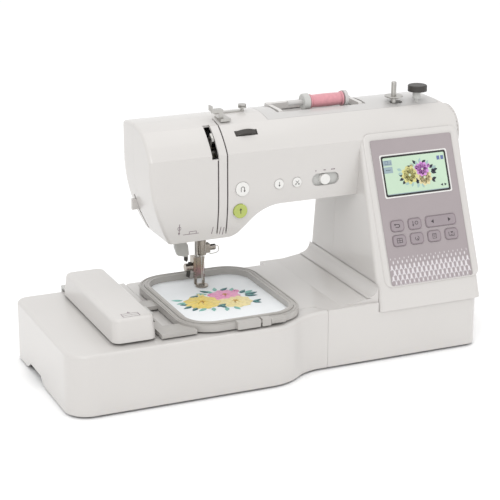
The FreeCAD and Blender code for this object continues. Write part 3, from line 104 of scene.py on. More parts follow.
def woven(name, colour, pitch):
    """Plain-weave cloth: two crossed waves make the threads."""
    material = surface(name, colour, rough=0.85, vary=0.02, patch=40.0, sheen=0.3)
    tree = material.node_tree
    place = tree.nodes.new("ShaderNodeTexCoord")
    height = None
    for direction in ("X", "Y"):
        wave = tree.nodes.new("ShaderNodeTexWave")
        wave.bands_direction = direction
        wave.inputs["Scale"].default_value = 0.31 / pitch
        wave.inputs["Distortion"].default_value = 0.6
        tree.links.new(place.outputs["Object"], wave.inputs["Vector"])
        if height is None:
            height = wave.outputs["Fac"]
        else:
            blend = tree.nodes.new("ShaderNodeMath")
            blend.operation = "MAXIMUM"
            tree.links.new(height, blend.inputs[0])
            tree.links.new(wave.outputs["Fac"], blend.inputs[1])
            height = blend.outputs[0]
    bump = tree.nodes.new("ShaderNodeBump")
    bump.inputs["Distance"].default_value = 0.00008
    bump.inputs["Strength"].default_value = 0.5
    tree.links.new(height, bump.inputs["Height"])
    tree.links.new(bump.outputs["Normal"], tree.nodes["Principled BSDF"].inputs["Normal"])
    return material


PEARL = dict(rough=0.32, coat=0.35, vary=0.012, patch=12.0, grain=1400.0, depth=0.00002)
looks = {
    "casing": surface("pearl_casing", "#c6c3c0", **PEARL),
    "top": surface("pearl_top_painted_shade", "#bcbab8", **PEARL),
    # painted shade: the top cover is the same pearl white plastic as the casing, given a darker colour for
    # the shade its upward faces get
    "unit": surface("pearl_unit", "#c5c2bf", **PEARL),
    "hoop": surface("hoop_grey", "#aca9a5", rough=0.36, vary=0.03, patch=60.0),
    "clear_grey": surface("light_grey", "#b9b9b6", rough=0.4, vary=0.03, patch=80.0),
    "white": surface("white_plastic", "#d9d8d5", rough=0.28, coat=0.4, vary=0.01),
    "dark": surface("dark_plastic", "#35322f", rough=0.45, vary=0.08, patch=120.0),
    "rubber": surface("black_rubber", "#1d1c1b", rough=0.8, vary=0.1, patch=150.0),
    "panel": surface("panel_mauve", "#9b9294", rough=0.42, vary=0.02, patch=25.0),
    "key": surface("key_mauve", "#91878b", rough=0.38, vary=0.02, patch=60.0),
    # the dark print colour of the pictograms, also used as painted shadow in the head's thread channels
    "ink": surface("ink", "#3b3438", rough=0.5, vary=0.05, patch=200.0),
    "pale_ink": surface("pale_ink", "#75666d", rough=0.5, vary=0.05, patch=200.0),
    "lace": surface("lace_white", "#d2cdd0", rough=0.45, vary=0.03, patch=90.0),
    "bezel": surface("screen_black", "#1b1c1c", rough=0.2, vary=0.1, patch=80.0),
    "screen": surface("screen_green", "#b3c9b2", rough=0.2, vary=0.03, patch=25.0, glow=0.06),
    "screen_shade": surface("screen_grey", "#8d9fa6", rough=0.2, vary=0.03),
    "screen_blue": surface("screen_blue", "#5a6896", rough=0.2, vary=0.05),
    "screen_ink": surface("screen_ink", "#141a2c", rough=0.2, vary=0.08),
    "green": surface("start_lit", "#a3af58", rough=0.25, coat=0.3, vary=0.03, glow=0.06),
    "steel": surface("brushed_steel", "#b9b7b3", rough=0.33, metal=1.0, vary=0.05, grain=700.0),
    "chrome": surface("polished_steel", "#d7d5d2", rough=0.12, metal=1.0, vary=0.03),
    "nickel": surface("warm_nickel", "#a39c93", rough=0.24, metal=1.0, vary=0.08, patch=140.0),
    "iron": surface("cast_frame", "#5c5f61", rough=0.6, metal=0.6, vary=0.08),
    "pink": surface("pink_thread", "#cf8f97", rough=0.55, vary=0.06, patch=300.0, sheen=0.4),
    "thread": surface("white_thread", "#f1eee8", rough=0.6, vary=0.04, patch=400.0, sheen=0.4),
    "yellow": surface("yellow_thread", "#e0c763", rough=0.42, vary=0.14, patch=260.0, sheen=0.3),
    "cream": surface("cream_thread", "#e2d295", rough=0.42, vary=0.12, patch=260.0, sheen=0.3),
    "rose": surface("rose_thread", "#dd8fb8", rough=0.42, vary=0.14, patch=260.0, sheen=0.3),
    "teal": surface("teal_thread", "#17565c", rough=0.42, vary=0.2, patch=260.0, sheen=0.3),
    "mint": surface("mint_thread", "#79b3a8", rough=0.42, vary=0.14, patch=260.0, sheen=0.3),
    "amber": surface("amber_thread", "#cda24d", rough=0.42, vary=0.14, patch=260.0, sheen=0.3),
    "cloth": woven("hooped_cloth", "#ebeef0", 0.0006),
}
node_looks = {
    "casing": ["front_casing", "rear_casing", "bed_casing", "handwheel", "threader_lever", "carry_handle"],
    # painted shade: the top cover takes the darker copy of the casing colour
    "top": ["top_cover"],
    "unit": ["unit_cover", "carriage_case"],
    "hoop": ["hoop_outer", "hoop_inner", "hoop_screw"],
    "clear_grey": ["spool_cap", "bobbin_cover", "bobbin", "presser_lever", "carriage_base",
                   "frame_holder", "holder_lever"],
    "white": ["reverse_button", "needle_button", "cutter_button", "speed_slider"],
    "dark": ["winder_stop", "tension_dial", "side_sockets", "power_switch", "rotary_hook", "bobbin_case",
             "unit_chassis"],
    "rubber": ["rubber_feet", "drive_belts"],
    "panel": ["control_panel"],
    "key": ["key_back", "key_stitch", "key_arrows", "key_edit", "key_adjust", "key_start_point", "key_help"],
    "bezel": ["lcd_screen"],
    "green": ["start_button"],
    "steel": ["casing_screws", "thread_guide", "needle_plate", "main_shaft", "lower_shaft", "drive_motor",
              "motor_pulley", "presser_spring", "take_up_lever", "winder_shaft"],
    "chrome": ["needle_bar", "needle", "presser_bar"],
    "nickel": ["needle_clamp", "embroidery_foot"],
    "iron": ["main_frame"],
    "pink": ["thread_spool"],
    "cloth": ["fabric"],
}
for look, names in node_looks.items():
    for name in names:
        data = nodes[name].data
        data.materials.clear()
        data.materials.append(looks[look])
stop_mesh = nodes["winder_stop"].data
stop_mesh.materials.append(looks["clear_grey"])
stop_top = max(v.co.z for v in stop_mesh.vertices)
for polygon in stop_mesh.polygons:
    if polygon.center.z < stop_top - 7.5 * MM:
        polygon.material_index = 1
body_of = {name: body for body, names in frame["record"]["behaviour"]["bodies"].items() for name in names}


# ---------------------------------------------------------------- building blocks
def piece(name, points, faces, look, body, slot, smooth=False):
    """A mesh in the row frame that moves with a CAD body."""
    data = bpy.data.meshes.new(name)
    data.from_pydata([tuple(p) for p in points], [], faces)
    made = bmesh.new()
    made.from_mesh(data)
    bmesh.ops.recalc_face_normals(made, faces=made.faces)
    made.to_mesh(data)
    made.free()
    for polygon in data.polygons:
        polygon.use_smooth = smooth
    obj = bpy.data.objects.new(name, data)
    bpy.context.collection.objects.link(obj)
    data.materials.append(looks[look])
    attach(obj, body)
    return obj


def plates(shapes, place, low, high):
    """Points and faces of flat shapes, given as closed 2D outlines, with a small thickness."""
    points, faces = [], []
    for shape in shapes:
        start, count = len(points), len(shape)
        points += [place(a, b, low) for a, b in shape]
        points += [place(a, b, high) for a, b in shape]
        faces.append([start + i for i in range(count)])
        faces.append([start + count + i for i in range(count)])
        for i in range(count):
            j = (i + 1) % count
            faces.append([start + i, start + j, start + count + j, start + count + i])
    return points, faces


def stroke(points, width, reach=2.0):
    """Short quads that follow a line of 2D points with that width."""
    short = [points[0]]
    for (a0, b0), (a1, b1) in zip(points, points[1:]):
        count = max(1, math.ceil(math.hypot(a1 - a0, b1 - b0) / reach))
        short += [(a0 + (a1 - a0) * i / count, b0 + (b1 - b0) * i / count) for i in range(1, count + 1)]
    shapes = []
    for (a0, b0), (a1, b1) in zip(short, short[1:]):
        run = math.hypot(a1 - a0, b1 - b0)
        if run < 1e-6:
            continue
        ux, uy = (a1 - a0) / run, (b1 - b0) / run
        ex, ey = ux * width * 0.3, uy * width * 0.3
        nx, ny = -uy * width / 2, ux * width / 2
        shapes.append([(a0 - ex + nx, b0 - ey + ny), (a0 - ex - nx, b0 - ey - ny),
                       (a1 + ex - nx, b1 + ey - ny), (a1 + ex + nx, b1 + ey + ny)])
    return shapes


def arc(cx, cy, radius, start, end, steps=12):
    span = math.radians(end - start)
    first = math.radians(start)
    angles = [first + span * i / steps for i in range(steps + 1)]
    return [(cx + radius * math.cos(angle), cy + radius * math.sin(angle)) for angle in angles]


def oval(cx, cy, rx, ry, turn=0.0, steps=14):
    shape = []
    cosine, sine = math.cos(turn), math.sin(turn)
    for i in range(steps):
        angle = 2 * math.pi * i / steps
        a, b = rx * math.cos(angle), ry * math.sin(angle)
        shape.append((cx + a * cosine - b * sine, cy + a * sine + b * cosine))
    return shape


def rounded(x0, x1, y0, y1, radius, steps=6):
    """A rectangle's outline with round corners, anticlockwise from its lower right corner."""
    shape = []
    for cx, cy, first in ((x1 - radius, y0 + radius, -90), (x1 - radius, y1 - radius, 0),
                          (x0 + radius, y1 - radius, 90), (x0 + radius, y0 + radius, 180)):
        shape += arc(cx, cy, radius, first, first + 90, steps)
    return shape


def rim(outline_of, place, profile):
    """A closed band: profile is a list of (inset, height) and outline_of gives the outline at an inset."""
    points, faces = [], []
    rings = [[place(a, b, height) for a, b in outline_of(inset)] for inset, height in profile]
    count = len(rings[0])
    for ring in rings:
        points += ring
    for k in range(len(rings)):
        following = (k + 1) % len(rings)
        for i in range(count):
            j = (i + 1) % count
            faces.append([k * count + i, k * count + j, following * count + j, following * count + i])
    return points, faces


def lathe(profile, centre, axis, steps=48):
    """A closed turned form: profile is a list of (distance along the axis, radius)."""
    axis = Vector(axis).normalized()
    side = axis.orthogonal().normalized()
    other = axis.cross(side)
    points, faces = [], []
    for along, radius in profile:
        for i in range(steps):
            angle = 2 * math.pi * i / steps
            outward = side * math.cos(angle) + other * math.sin(angle)
            points.append(Vector(centre) + axis * along + outward * radius)
    for k in range(len(profile) - 1):
        for i in range(steps):
            j = (i + 1) % steps
            faces.append([k * steps + i, k * steps + j, (k + 1) * steps + j, (k + 1) * steps + i])
    faces.append(list(range(steps)))
    faces.append([(len(profile) - 1) * steps + i for i in range(steps)])
    return points, faces


def wire(path, radius, sides=8):
    """A round wire along 3D points."""
    path = [Vector(p) for p in path]
    points, faces = [], []
    side = None
    for k, at in enumerate(path):
        along = (path[min(k + 1, len(path) - 1)] - path[max(k - 1, 0)]).normalized()
        if side is None:
            side = along.orthogonal().normalized()
        side = (side - along * side.dot(along)).normalized()
        other = along.cross(side)
        for i in range(sides):
            angle = 2 * math.pi * i / sides
            points.append(at + (side * math.cos(angle) + other * math.sin(angle)) * radius)
    for k in range(len(path) - 1):
        for i in range(sides):
            j = (i + 1) % sides
            faces.append([k * sides + i, k * sides + j, (k + 1) * sides + j, (k + 1) * sides + i])
    faces.append(list(range(sides)))
    faces.append([(len(path) - 1) * sides + i for i in range(sides)])
    return points, faces


def bend_through(points, steps=8):
    """A smooth path through 3D points."""
    points = [Vector(p) for p in points]
    path = []
    for k in range(len(points) - 1):
        before = points[max(k - 1, 0)]
        after = points[min(k + 2, len(points) - 1)]
        for i in range(steps):
            t = i / steps
            a, b, c, d = before, points[k], points[k + 1], after
            path.append(0.5 * (2 * b + (c - a) * t + (2 * a - 5 * b + 4 * c - d) * t * t
                               + (3 * b - a - 3 * c + d) * t * t * t))
    path.append(points[-1])
    return path


# ---------------------------------------------------------------- places, from the frame
needle_low, needle_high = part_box("needle_bar")
needle_x = (needle_low.x + needle_high.x) / 2
needle_y = (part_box("needle")[0].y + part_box("needle")[1].y) / 2
face_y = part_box("reverse_button")[0].y + 1.4 * MM
panel_mesh = nodes["control_panel"].data
wide = max((p for p in panel_mesh.polygons if p.normal.y < -0.5), key=lambda p: p.area)
panel_out = wide.normal.normalized()
panel_up = panel_out.cross(Vector((1, 0, 0))).normalized()
front_points = [v.co for v in panel_mesh.vertices
                if abs((v.co - panel_mesh.vertices[wide.vertices[0]].co).dot(panel_out)) < 0.05 * MM]
panel_left = min(p.x for p in front_points)
panel_right = max(p.x for p in front_points)
panel_origin = min(front_points, key=lambda p: p.dot(panel_up)).copy()
panel_origin.x = 0.0
panel_tall = max((p - panel_origin).dot(panel_up) for p in front_points)


def on_panel(x, up, out):
    return panel_origin + Vector((x, 0, 0)) + panel_up * up + panel_out * out


def panel_span(name):
    """(left, right, low, high, out) of a node measured on the panel."""
    points = [v.co for v in nodes[name].data.vertices]
    ups = [(p - panel_origin).dot(panel_up) for p in points]
    outs = [(p - panel_origin).dot(panel_out) for p in points]
    front = [u for u, o in zip(ups, outs) if o > max(outs) - 0.1 * MM]
    return min(p.x for p in points), max(p.x for p in points), min(front), max(front), max(outs)


# ---------------------------------------------------------------- control panel
rim_beside = 9 * MM
rim_above = 7.5 * MM
rim_corner = 9 * MM


def panel_rim_outline(inset):
    return rounded(panel_left - rim_beside + inset, panel_right + rim_beside - inset, -0.5 * MM + inset * 0.2,
                   panel_tall + rim_above - inset, rim_corner - inset * 0.7)


points, faces = rim(panel_rim_outline, on_panel,
                    [(0, -1.0 * MM), (0.8 * MM, 0.7 * MM), (2.4 * MM, 1.3 * MM), (6.0 * MM, 1.1 * MM),
                     (8.2 * MM, 0.2 * MM), (8.4 * MM, -1.0 * MM)])
piece("panel_rim", points, faces, "casing", "body", "casing", smooth=True)
left, right, low, high, out = panel_span("lcd_screen")
border = rim(lambda inset: rounded(left - 1.6 * MM + inset, right + 1.6 * MM - inset, low - 1.6 * MM + inset,
                                   high + 1.6 * MM - inset, 2.2 * MM), on_panel,
             [(0, -0.3 * MM), (0.3 * MM, 0.35 * MM), (1.5 * MM, 0.35 * MM), (1.9 * MM, -0.6 * MM)])
piece("screen_border", *border, "white", "body", "casing", smooth=False)
view_inset = 2.2 * MM
black = rim(lambda inset: rounded(left + inset, right - inset, low + inset, high - inset, 1.4 * MM), on_panel,
            [(0.2 * MM, out - 0.2 * MM), (0.3 * MM, out + 0.25 * MM), (view_inset, out + 0.25 * MM),
             (2.4 * MM, out - 0.2 * MM)])
piece("screen_frame", *black, "bezel", "body", "screen")
view_left, view_right = left + view_inset, right - view_inset
view_low, view_high = low + view_inset, high - view_inset


def on_screen(a, b, h):
    """a and b in mm from the middle of the screen."""
    return on_panel((view_left + view_right) / 2 + a * MM, (view_low + view_high) / 2 + b * MM, out + h * MM)


half_wide = (view_right - view_left) / 2 / MM
half_tall = (view_high - view_low) / 2 / MM
screen_outline = rounded(-half_wide, half_wide, -half_tall, half_tall, 0.6)
piece("screen_glass", *plates([screen_outline], on_screen, 0.02, 0.1), "screen", "body", "screen")


def box_outline(x0, x1, y0, y1):
    return [(x0, y0), (x1, y0), (x1, y1), (x0, y1)]


def frame_strokes(x0, x1, y0, y1, width):
    return stroke([(x0, y0), (x1, y0), (x1, y1), (x0, y1), (x0, y0)], width)


icons = {"screen_shade": [], "screen_blue": [], "screen_ink": []}
icons["screen_shade"].append(box_outline(-half_wide, -half_wide + 11, 3.5, 10.5))
icons["screen_shade"].append(box_outline(-half_wide, -half_wide + 11, 12, 18))
icons["screen_shade"] += [box_outline(-half_wide + 0.5, half_wide - 0.5, -half_tall, -half_tall + 0.8)]
icons["screen_blue"] += [box_outline(half_wide - 10, half_wide - 6.4, 12.5, 17),
                         box_outline(half_wide - 5, half_wide - 1.4, 12.5, 17)]
icons["screen_blue"] += frame_strokes(-half_wide + 2.5, -half_wide + 6, 13.5, 17, 0.5)
icons["screen_blue"] += stroke([(-half_wide + 7.2, 13.5), (-half_wide + 9.4, 13.5), (-half_wide + 9.4, 16)],
                               0.5)
icons["screen_ink"] += stroke([(-half_wide + 2.5, 7), (-half_wide + 8.5, 7)], 0.6)
icons["screen_ink"] += [[(half_wide - 10, -16), (half_wide - 7, -17.6), (half_wide - 7, -14.4)],
                        [(half_wide - 2, -16), (half_wide - 5, -17.6), (half_wide - 5, -14.4)]]
for look, shapes in icons.items():
    piece("display_" + look[7:], *plates(shapes, on_screen, 0.1, 0.16), look, "body", "screen")

# one bouquet, used small on the screen and as stitches on the cloth: (kind, a, b, size, turn, thread), in mm
bouquet = [
    ("leaf", -37, 12, 12, 2.75, "mint"), ("leaf", -36, 4, 11, 3.2, "mint"),
    ("leaf", -35, -3, 10, 2.9, "teal"), ("leaf", -34, -9, 12, 3.5, "teal"),
    ("leaf", -27, 15, 14, 0.45, "teal"), ("leaf", -30, -15, 12, 3.9, "teal"),
    ("leaf", -22, -21, 12, 3.6, "mint"), ("leaf", -14, -22, 11, 4.4, "mint"),
    ("leaf", -9, -21, 15, 0.35, "teal"), ("leaf", 0, -27, 11, 4.3, "mint"),
    ("leaf", 8, -28, 11, 5.0, "mint"), ("leaf", -4, -17, 12, 5.0, "teal"),
    ("leaf", 33, -21, 12, 0.3, "teal"), ("leaf", 33, -21, 10, 5.6, "teal"),
    ("leaf", 34, 4, 16, 0.12, "teal"), ("leaf", 33, 1, 14, 5.95, "teal"), ("leaf", 31, 10, 12, 0.7, "teal"),
    ("leaf", 36, 9, 12, 0.35, "mint"), ("leaf", 24, 20, 11, 1.0, "mint"), ("leaf", 14, 26, 12, 0.5, "teal"),
    ("leaf", 8, 27, 11, 1.3, "mint"), ("leaf", 0, 25, 12, 2.3, "teal"), ("leaf", -5, 20, 12, 2.6, "mint"),
    ("leaf", 2, 20, 11, 1.8, "mint"), ("bloom", -19, -2, 22, 0.3, "yellow"),
    ("bloom", 16, -13, 20, 0.9, "cream"), ("bloom", 13, 10, 18, 0.1, "rose"),
    ("bud", -1, 16, 5.0, 0.2, "rose"), ("bud", 29, 18, 4.5, 0.4, "rose"),
    ("bud", -12, 21, 4.5, 0.2, "cream"),
]


def leaf_outline(a, b, size, turn, steps=9):
    """A pointed leaf that starts at (a, b) and points along turn."""
    plump = 0.27
    upper = [(size * i / steps, size * plump * math.sin(math.pi * (i / steps) ** 0.85))
             for i in range(steps + 1)]
    shape = upper + [(x, -y) for x, y in reversed(upper[1:-1])]
    cosine, sine = math.cos(turn), math.sin(turn)
    return [(a + x * cosine - y * sine, b + x * sine + y * cosine) for x, y in shape]


def flower_petals(a, b, size, turn, layers):
    """Petals of a round double flower, outer ones first: (a, b, length, width, direction, layer)."""
    petals = []
    for layer in range(layers):
        number = 9 - layer
        reach = size * (0.98 - 0.21 * layer)
        for k in range(number):
            angle = turn + layer * 0.5 + 2 * math.pi * k / number
            petals.append((a + math.cos(angle) * reach * 0.18, b + math.sin(angle) * reach * 0.18,
                           reach * 0.8, reach * 0.34, angle + 0.25, layer))
    return petals


screen_scale = 0.52
screen_looks = {"yellow": "#c5c07e", "cream": "#cbbf92", "rose": "#c183c4", "teal": "#161c2c",
                "mint": "#93aeaa"}
for thread, code in screen_looks.items():
    looks["shown_" + thread] = surface("screen_" + thread, code, rough=0.2, vary=0.08)
    shapes = []
    for kind, a, b, size, turn, wanted in bouquet:
        if wanted != thread:
            continue
        a, b, size = a * screen_scale + 2, b * screen_scale * 0.8, size * screen_scale
        if kind == "leaf":
            shapes.append(leaf_outline(a, b, size, turn))
        else:
            shapes += [oval(pa + math.cos(angle) * length * 0.45, pb + math.sin(angle) * length * 0.45,
                            length * 0.5, wide_ * 0.8, angle)
                       for pa, pb, length, wide_, angle, layer in flower_petals(a, b, size, turn, 2)]
    level = {"teal": 0.0, "mint": 0.02, "cream": 0.04, "yellow": 0.06, "rose": 0.08}[thread]
    piece("display_" + thread, *plates(shapes, on_screen, 0.1, 0.17 + level),
          "shown_" + thread, "body", "screen")


def key_shapes(name):
    """A generic pictogram for each key, in mm from the key's middle."""
    if name == "key_back":
        return stroke([(-3, 1.6), (1, 1.6)] + arc(1, 0, 1.6, 90, -90) + [(-2.6, -1.6)], 0.7) + [
            [(-4.4, 1.6), (-2.4, 2.9), (-2.4, 0.3)]]
    if name == "key_stitch":
        return stroke([(-2.4, 2.8), (-2.4, -0.8)], 0.7) + [
            [(-3.6, -0.8), (-1.2, -0.8), (-2.4, -2.9)]] + stroke(arc(2.0, 0.8, 1.8, 0, 360), 0.55)
    if name == "key_arrows":
        return [[(-12.6, 0), (-9.2, 2.3), (-9.2, -2.3)], [(12.6, 0), (9.2, 2.3), (9.2, -2.3)]]
    if name == "key_edit":
        return frame_strokes(-3.2, 3.2, -2.4, 2.4, 0.55) + stroke([(-3.2, 0), (3.2, 0)], 0.45) + stroke(
            [(0, -2.4), (0, 2.4)], 0.45)
    if name == "key_adjust":
        return stroke(arc(0, 0.2, 2.3, 150, 420), 0.55) + stroke([(0, 0.2), (1.6, -2.4)], 0.55)
    if name == "key_start_point":
        return frame_strokes(-2.2, 2.2, -2.6, 2.6, 0.5) + stroke([(-1, 1), (1, 1)], 0.5) + stroke(
            [(-1, -0.6), (1, -0.6)], 0.5)
    return stroke([(-3.4, 2), (-3.4, -1.4), (-1.6, -2.4), (3.2, -2.4), (3.2, 0.8)], 0.5) + [
        [(-1.4, 2.4), (2.4, 2.4), (0.5, 0.4)]] + stroke([(-1.2, -1.0), (1.6, -1.0)], 0.5)


for name in node_looks["key"]:
    left, right, low, high, out_key = panel_span(name)
    cx, cy = (left + right) / 2, (low + high) / 2

    def on_key(a, b, h):
        return on_panel(cx + a * MM, cy + b * MM, out_key + h * MM)

    body = body_of[name]
    piece(name + "_picture", *plates(key_shapes(name), on_key, -0.05, 0.08), "ink", body, "key")
    w, t = (right - left) / 2 / MM, (high - low) / 2 / MM
    ring = rim(lambda inset: rounded(-w + inset, w - inset, -t + inset, t - inset, 3.4), on_key,
               [(0.25, -0.3), (0.35, 0.06), (0.75, 0.06), (0.85, -0.3)])
    piece(name + "_edge", *ring, "pale_ink", body, "key")

drops = []
columns = 17
pitch = (panel_right - panel_left - 6 * MM) / columns / MM
# rows of the drop pattern, from the panel's foot up: (height, half length, half width) of a drop, in mm
rows = [(4.0, 2.0, 0.9), (9.5, 2.6, 1.25), (15.5, 2.9, 1.35), (21.5, 2.6, 1.15), (27.0, 1.9, 0.75),
        (31.0, 1.1, 0.4)]
for number, (up, tall, thick) in enumerate(rows):
    for k in range(columns + number % 2):
        x = (panel_left / MM) + 3 + pitch * (k + (0.0 if number % 2 else 0.5))
        drops.append(oval(x, up, tall, thick, math.pi / 2))
        if number < 4:
            drops.append(oval(x - pitch / 4, up - 2.4, tall * 0.45, thick * 0.45, 1.0))
            drops.append(oval(x + pitch / 4, up - 2.4, tall * 0.45, thick * 0.45, 2.14))
piece("panel_lace", *plates(drops, lambda a, b, h: on_panel(a * MM, b * MM, h * MM), -0.05, 0.06),
      "lace", "body", "panel")


# ---------------------------------------------------------------- marks and icons on the arm's face, and painted shadow lines in its thread channels
casing_mesh = nodes["front_casing"].data
casing_skin = BVHTree.FromPolygons([v.co for v in casing_mesh.vertices],
                                   [p.vertices for p in casing_mesh.polygons])


def skin_y(x, z):
    """Where the front casing's surface is, seen from the operator."""
    hit = casing_skin.ray_cast(Vector((x, -0.5, z)), Vector((0, 1, 0)))[0]
    return hit.y if hit else face_y


def skin_z(x, y):
    """Where the casing's surface is, seen from above."""
    return casing_skin.ray_cast(Vector((x, y, 0.5)), Vector((0, 0, -1)))[0].z


def face_mark(name, cx, cz, shapes, look="pale_ink", body="body", node=None, slot="casing"):
    """Marks on the front casing, or on the front of a node, from shapes in mm about (cx, cz)."""
    def place(a, b, h):
        x, z = cx + a * MM, cz + b * MM
        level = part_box(node)[0].y if node else skin_y(x, z)
        return Vector((x, level - h * MM, z))

    return piece(name, *plates(shapes, place, -0.1, 0.06), look, body, slot)


def middle(name):
    low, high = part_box(name)
    return (low + high) / 2


at = middle("reverse_button")
face_mark("reverse_picture", at.x, at.z,
          stroke([(-2, -2.6), (-2, 0.8)] + arc(0, 0.8, 2, 180, 0) + [(2, -1.6)], 0.7)
          + [[(0.6, -1.4), (3.4, -1.4), (2.0, -3.4)]],
          "ink", body_of["reverse_button"], "reverse_button", "button_white")
at = middle("start_button")
face_mark("start_picture", at.x, at.z,
          stroke([(0, -2.6), (0, 2.8)], 0.8) + [[(-1.7, 1.2), (1.7, 1.2), (0, 3.6)]],
          "ink", body_of["start_button"], "start_button", "button_green")
at = middle("needle_button")
face_mark("needle_picture", at.x, at.z,
          stroke([(0, 2.6), (0, -1.2)], 0.55) + [[(-1.3, -0.9), (1.3, -0.9), (0, -2.7)]],
          "ink", body_of["needle_button"], "needle_button", "button_white")
at = middle("cutter_button")
face_mark("cutter_picture", at.x, at.z,
          stroke([(-2, 2), (1.6, -1.4)], 0.5) + stroke([(2, 2), (-1.6, -1.4)], 0.5)
          + stroke(arc(-1.9, -2, 0.7, 0, 360), 0.4) + stroke(arc(1.9, -2, 0.7, 0, 360), 0.4),
          "ink", body_of["cutter_button"], "cutter_button", "button_white")
at = middle("speed_slider")
flange_y = face_y + 3.3 * MM
flange_half_wide = 27 * MM
flange_half_tall = 8.4 * MM
piece("slider_flange", *plates([box_outline(at.x - flange_half_wide, at.x + flange_half_wide,
                                            at.z - flange_half_tall, at.z + flange_half_tall)],
                               lambda a, b, h: Vector((a, flange_y + h, b)), 0.0, 0.6 * MM),
      "clear_grey", body_of["speed_slider"], "button_white")
face_mark("slider_marks", at.x, at.z, [oval(-11, 10.4, 0.7, 0.7)] + stroke([(-1.2, 10.4), (0.8, 10.4)], 1.1)
          + stroke([(8, 10.4), (9.4, 10.4)], 1.2) + stroke([(10.6, 10.4), (12, 10.4)], 1.2), "pale_ink")
threading_z = 157.001 * MM
face_mark("threading_picture", needle_x - 37 * MM, threading_z,
          stroke([(-8, 7), (-8, -3)], 0.8) + [[(-9.3, -3), (-6.7, -3), (-8, -6)]]
          + stroke(arc(-8, 2, 1.9, 0, 360), 0.5) + stroke([(-3, -6), (15, -6)], 0.6)
          + stroke([(4, -6), (4, -3), (12, -3), (12, -6)], 0.6), "pale_ink")

foot_lines_z = 141.5 * MM
foot_lines = ((-5.5, 14.5, -6.8, 6.5), (3.8, 13.5, 2.6, 5.0), (7.4, 12.5, 6.1, 4.0))
for number, (a0, b0, a1, b1) in enumerate(foot_lines):
    face_mark("foot_line_%d" % number, needle_x, foot_lines_z, stroke([(a0, b0), (a1, b1)], 0.8), "pale_ink")


def channel_line(name, x, z_low, z_high, y_back, width):
    """A dark shadow line in a thread channel: up the front of the head, then back over its top."""
    line = []
    z = z_low
    while z < z_high:
        line.append((skin_y(x, z), z))
        z += 2 * MM
    y = line[-1][0] + 2 * MM
    while y < y_back:
        line.append((y, skin_z(x, y)))
        y += 2 * MM
    points, faces = [], []
    for y, z in line:
        for out in (0.25 * MM, 0.1 * MM):
            points += [(x - width / 2, y - out, z + (out if y > line[0][0] + 9 * MM else 0)),
                       (x + width / 2, y - out, z + (out if y > line[0][0] + 9 * MM else 0))]
    order = (0, 1, 3, 2)
    for i in range(len(line) - 1):
        for k in range(4):
            a, b = order[k], order[(k + 1) % 4]
            faces.append([i * 4 + a, i * 4 + b, i * 4 + 4 + b, i * 4 + 4 + a])
    faces.append([0, 1, 3, 2])
    faces.append([len(points) - 4, len(points) - 3, len(points) - 1, len(points) - 2])
    # painted shadow: a dark strip in the print colour, laid in the groove where the channel is only in shade
    piece(name, points, faces, "ink", "body", "casing")


groove_foot = 148 * MM
left_groove_top = 232 * MM
right_groove_top = 250 * MM
groove_wide = 1.2 * MM
channel_line("channel_left", needle_x + 0.2 * MM, groove_foot, left_groove_top, 0.0, groove_wide)
channel_line("channel_right", needle_x + 10.8 * MM, groove_foot, right_groove_top, needle_y - 10 * MM,
             groove_wide)


# ---------------------------------------------------------------- cloth with stitches
cloth_low, cloth_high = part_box("fabric")
cloth_z = cloth_high.z
hoop_x = (cloth_low.x + cloth_high.x) / 2
hoop_y = (cloth_low.y + cloth_high.y) / 2
cloth_inset = 0.2 * MM
cloth_x0, cloth_x1 = cloth_low.x + cloth_inset, cloth_high.x - cloth_inset
cloth_y0, cloth_y1 = cloth_low.y + cloth_inset, cloth_high.y - cloth_inset
cloth_below = 0.25 * MM    # the cloth's middle, under the top of its solid
step = 2.5 * MM
corner = 32 * MM


def within_cloth(x, y):
    """The nearest point inside the cloth's rounded outline."""
    cx = min(max(x, cloth_x0 + corner), cloth_x1 - corner)
    cy = min(max(y, cloth_y0 + corner), cloth_y1 - corner)
    away = Vector((x - cx, y - cy))
    if away.length > corner:
        away = away.normalized() * corner
    return cx + away.x, cy + away.y


across = int((cloth_x1 - cloth_x0) / step)
along = int((cloth_y1 - cloth_y0) / step)
points, faces = [], []
for j in range(along + 1):
    for i in range(across + 1):
        x, y = within_cloth(cloth_x0 + (cloth_x1 - cloth_x0) * i / across,
                            cloth_y0 + (cloth_y1 - cloth_y0) * j / along)
        pull = math.sin(x * 190 + 2.0 * math.sin(y * 90)) * math.sin(y * 140 + 1.0) * 0.05 * MM
        points.append((x, y, cloth_z - cloth_below + pull))
for j in range(along):
    for i in range(across):
        a = j * (across + 1) + i
        faces.append([a, a + 1, a + across + 2, a + across + 1])
cloth = piece("hooped_fabric", points, faces, "cloth", "frame_slide", "fabric", smooth=True)
made = bmesh.new()
made.from_mesh(cloth.data)
bmesh.ops.remove_doubles(made, verts=made.verts, dist=1e-6)
bmesh.ops.dissolve_degenerate(made, edges=made.edges, dist=1e-6)
cloth_area = sum(f.calc_area() for f in made.faces)
made.to_mesh(cloth.data)
made.free()
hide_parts("fabric")


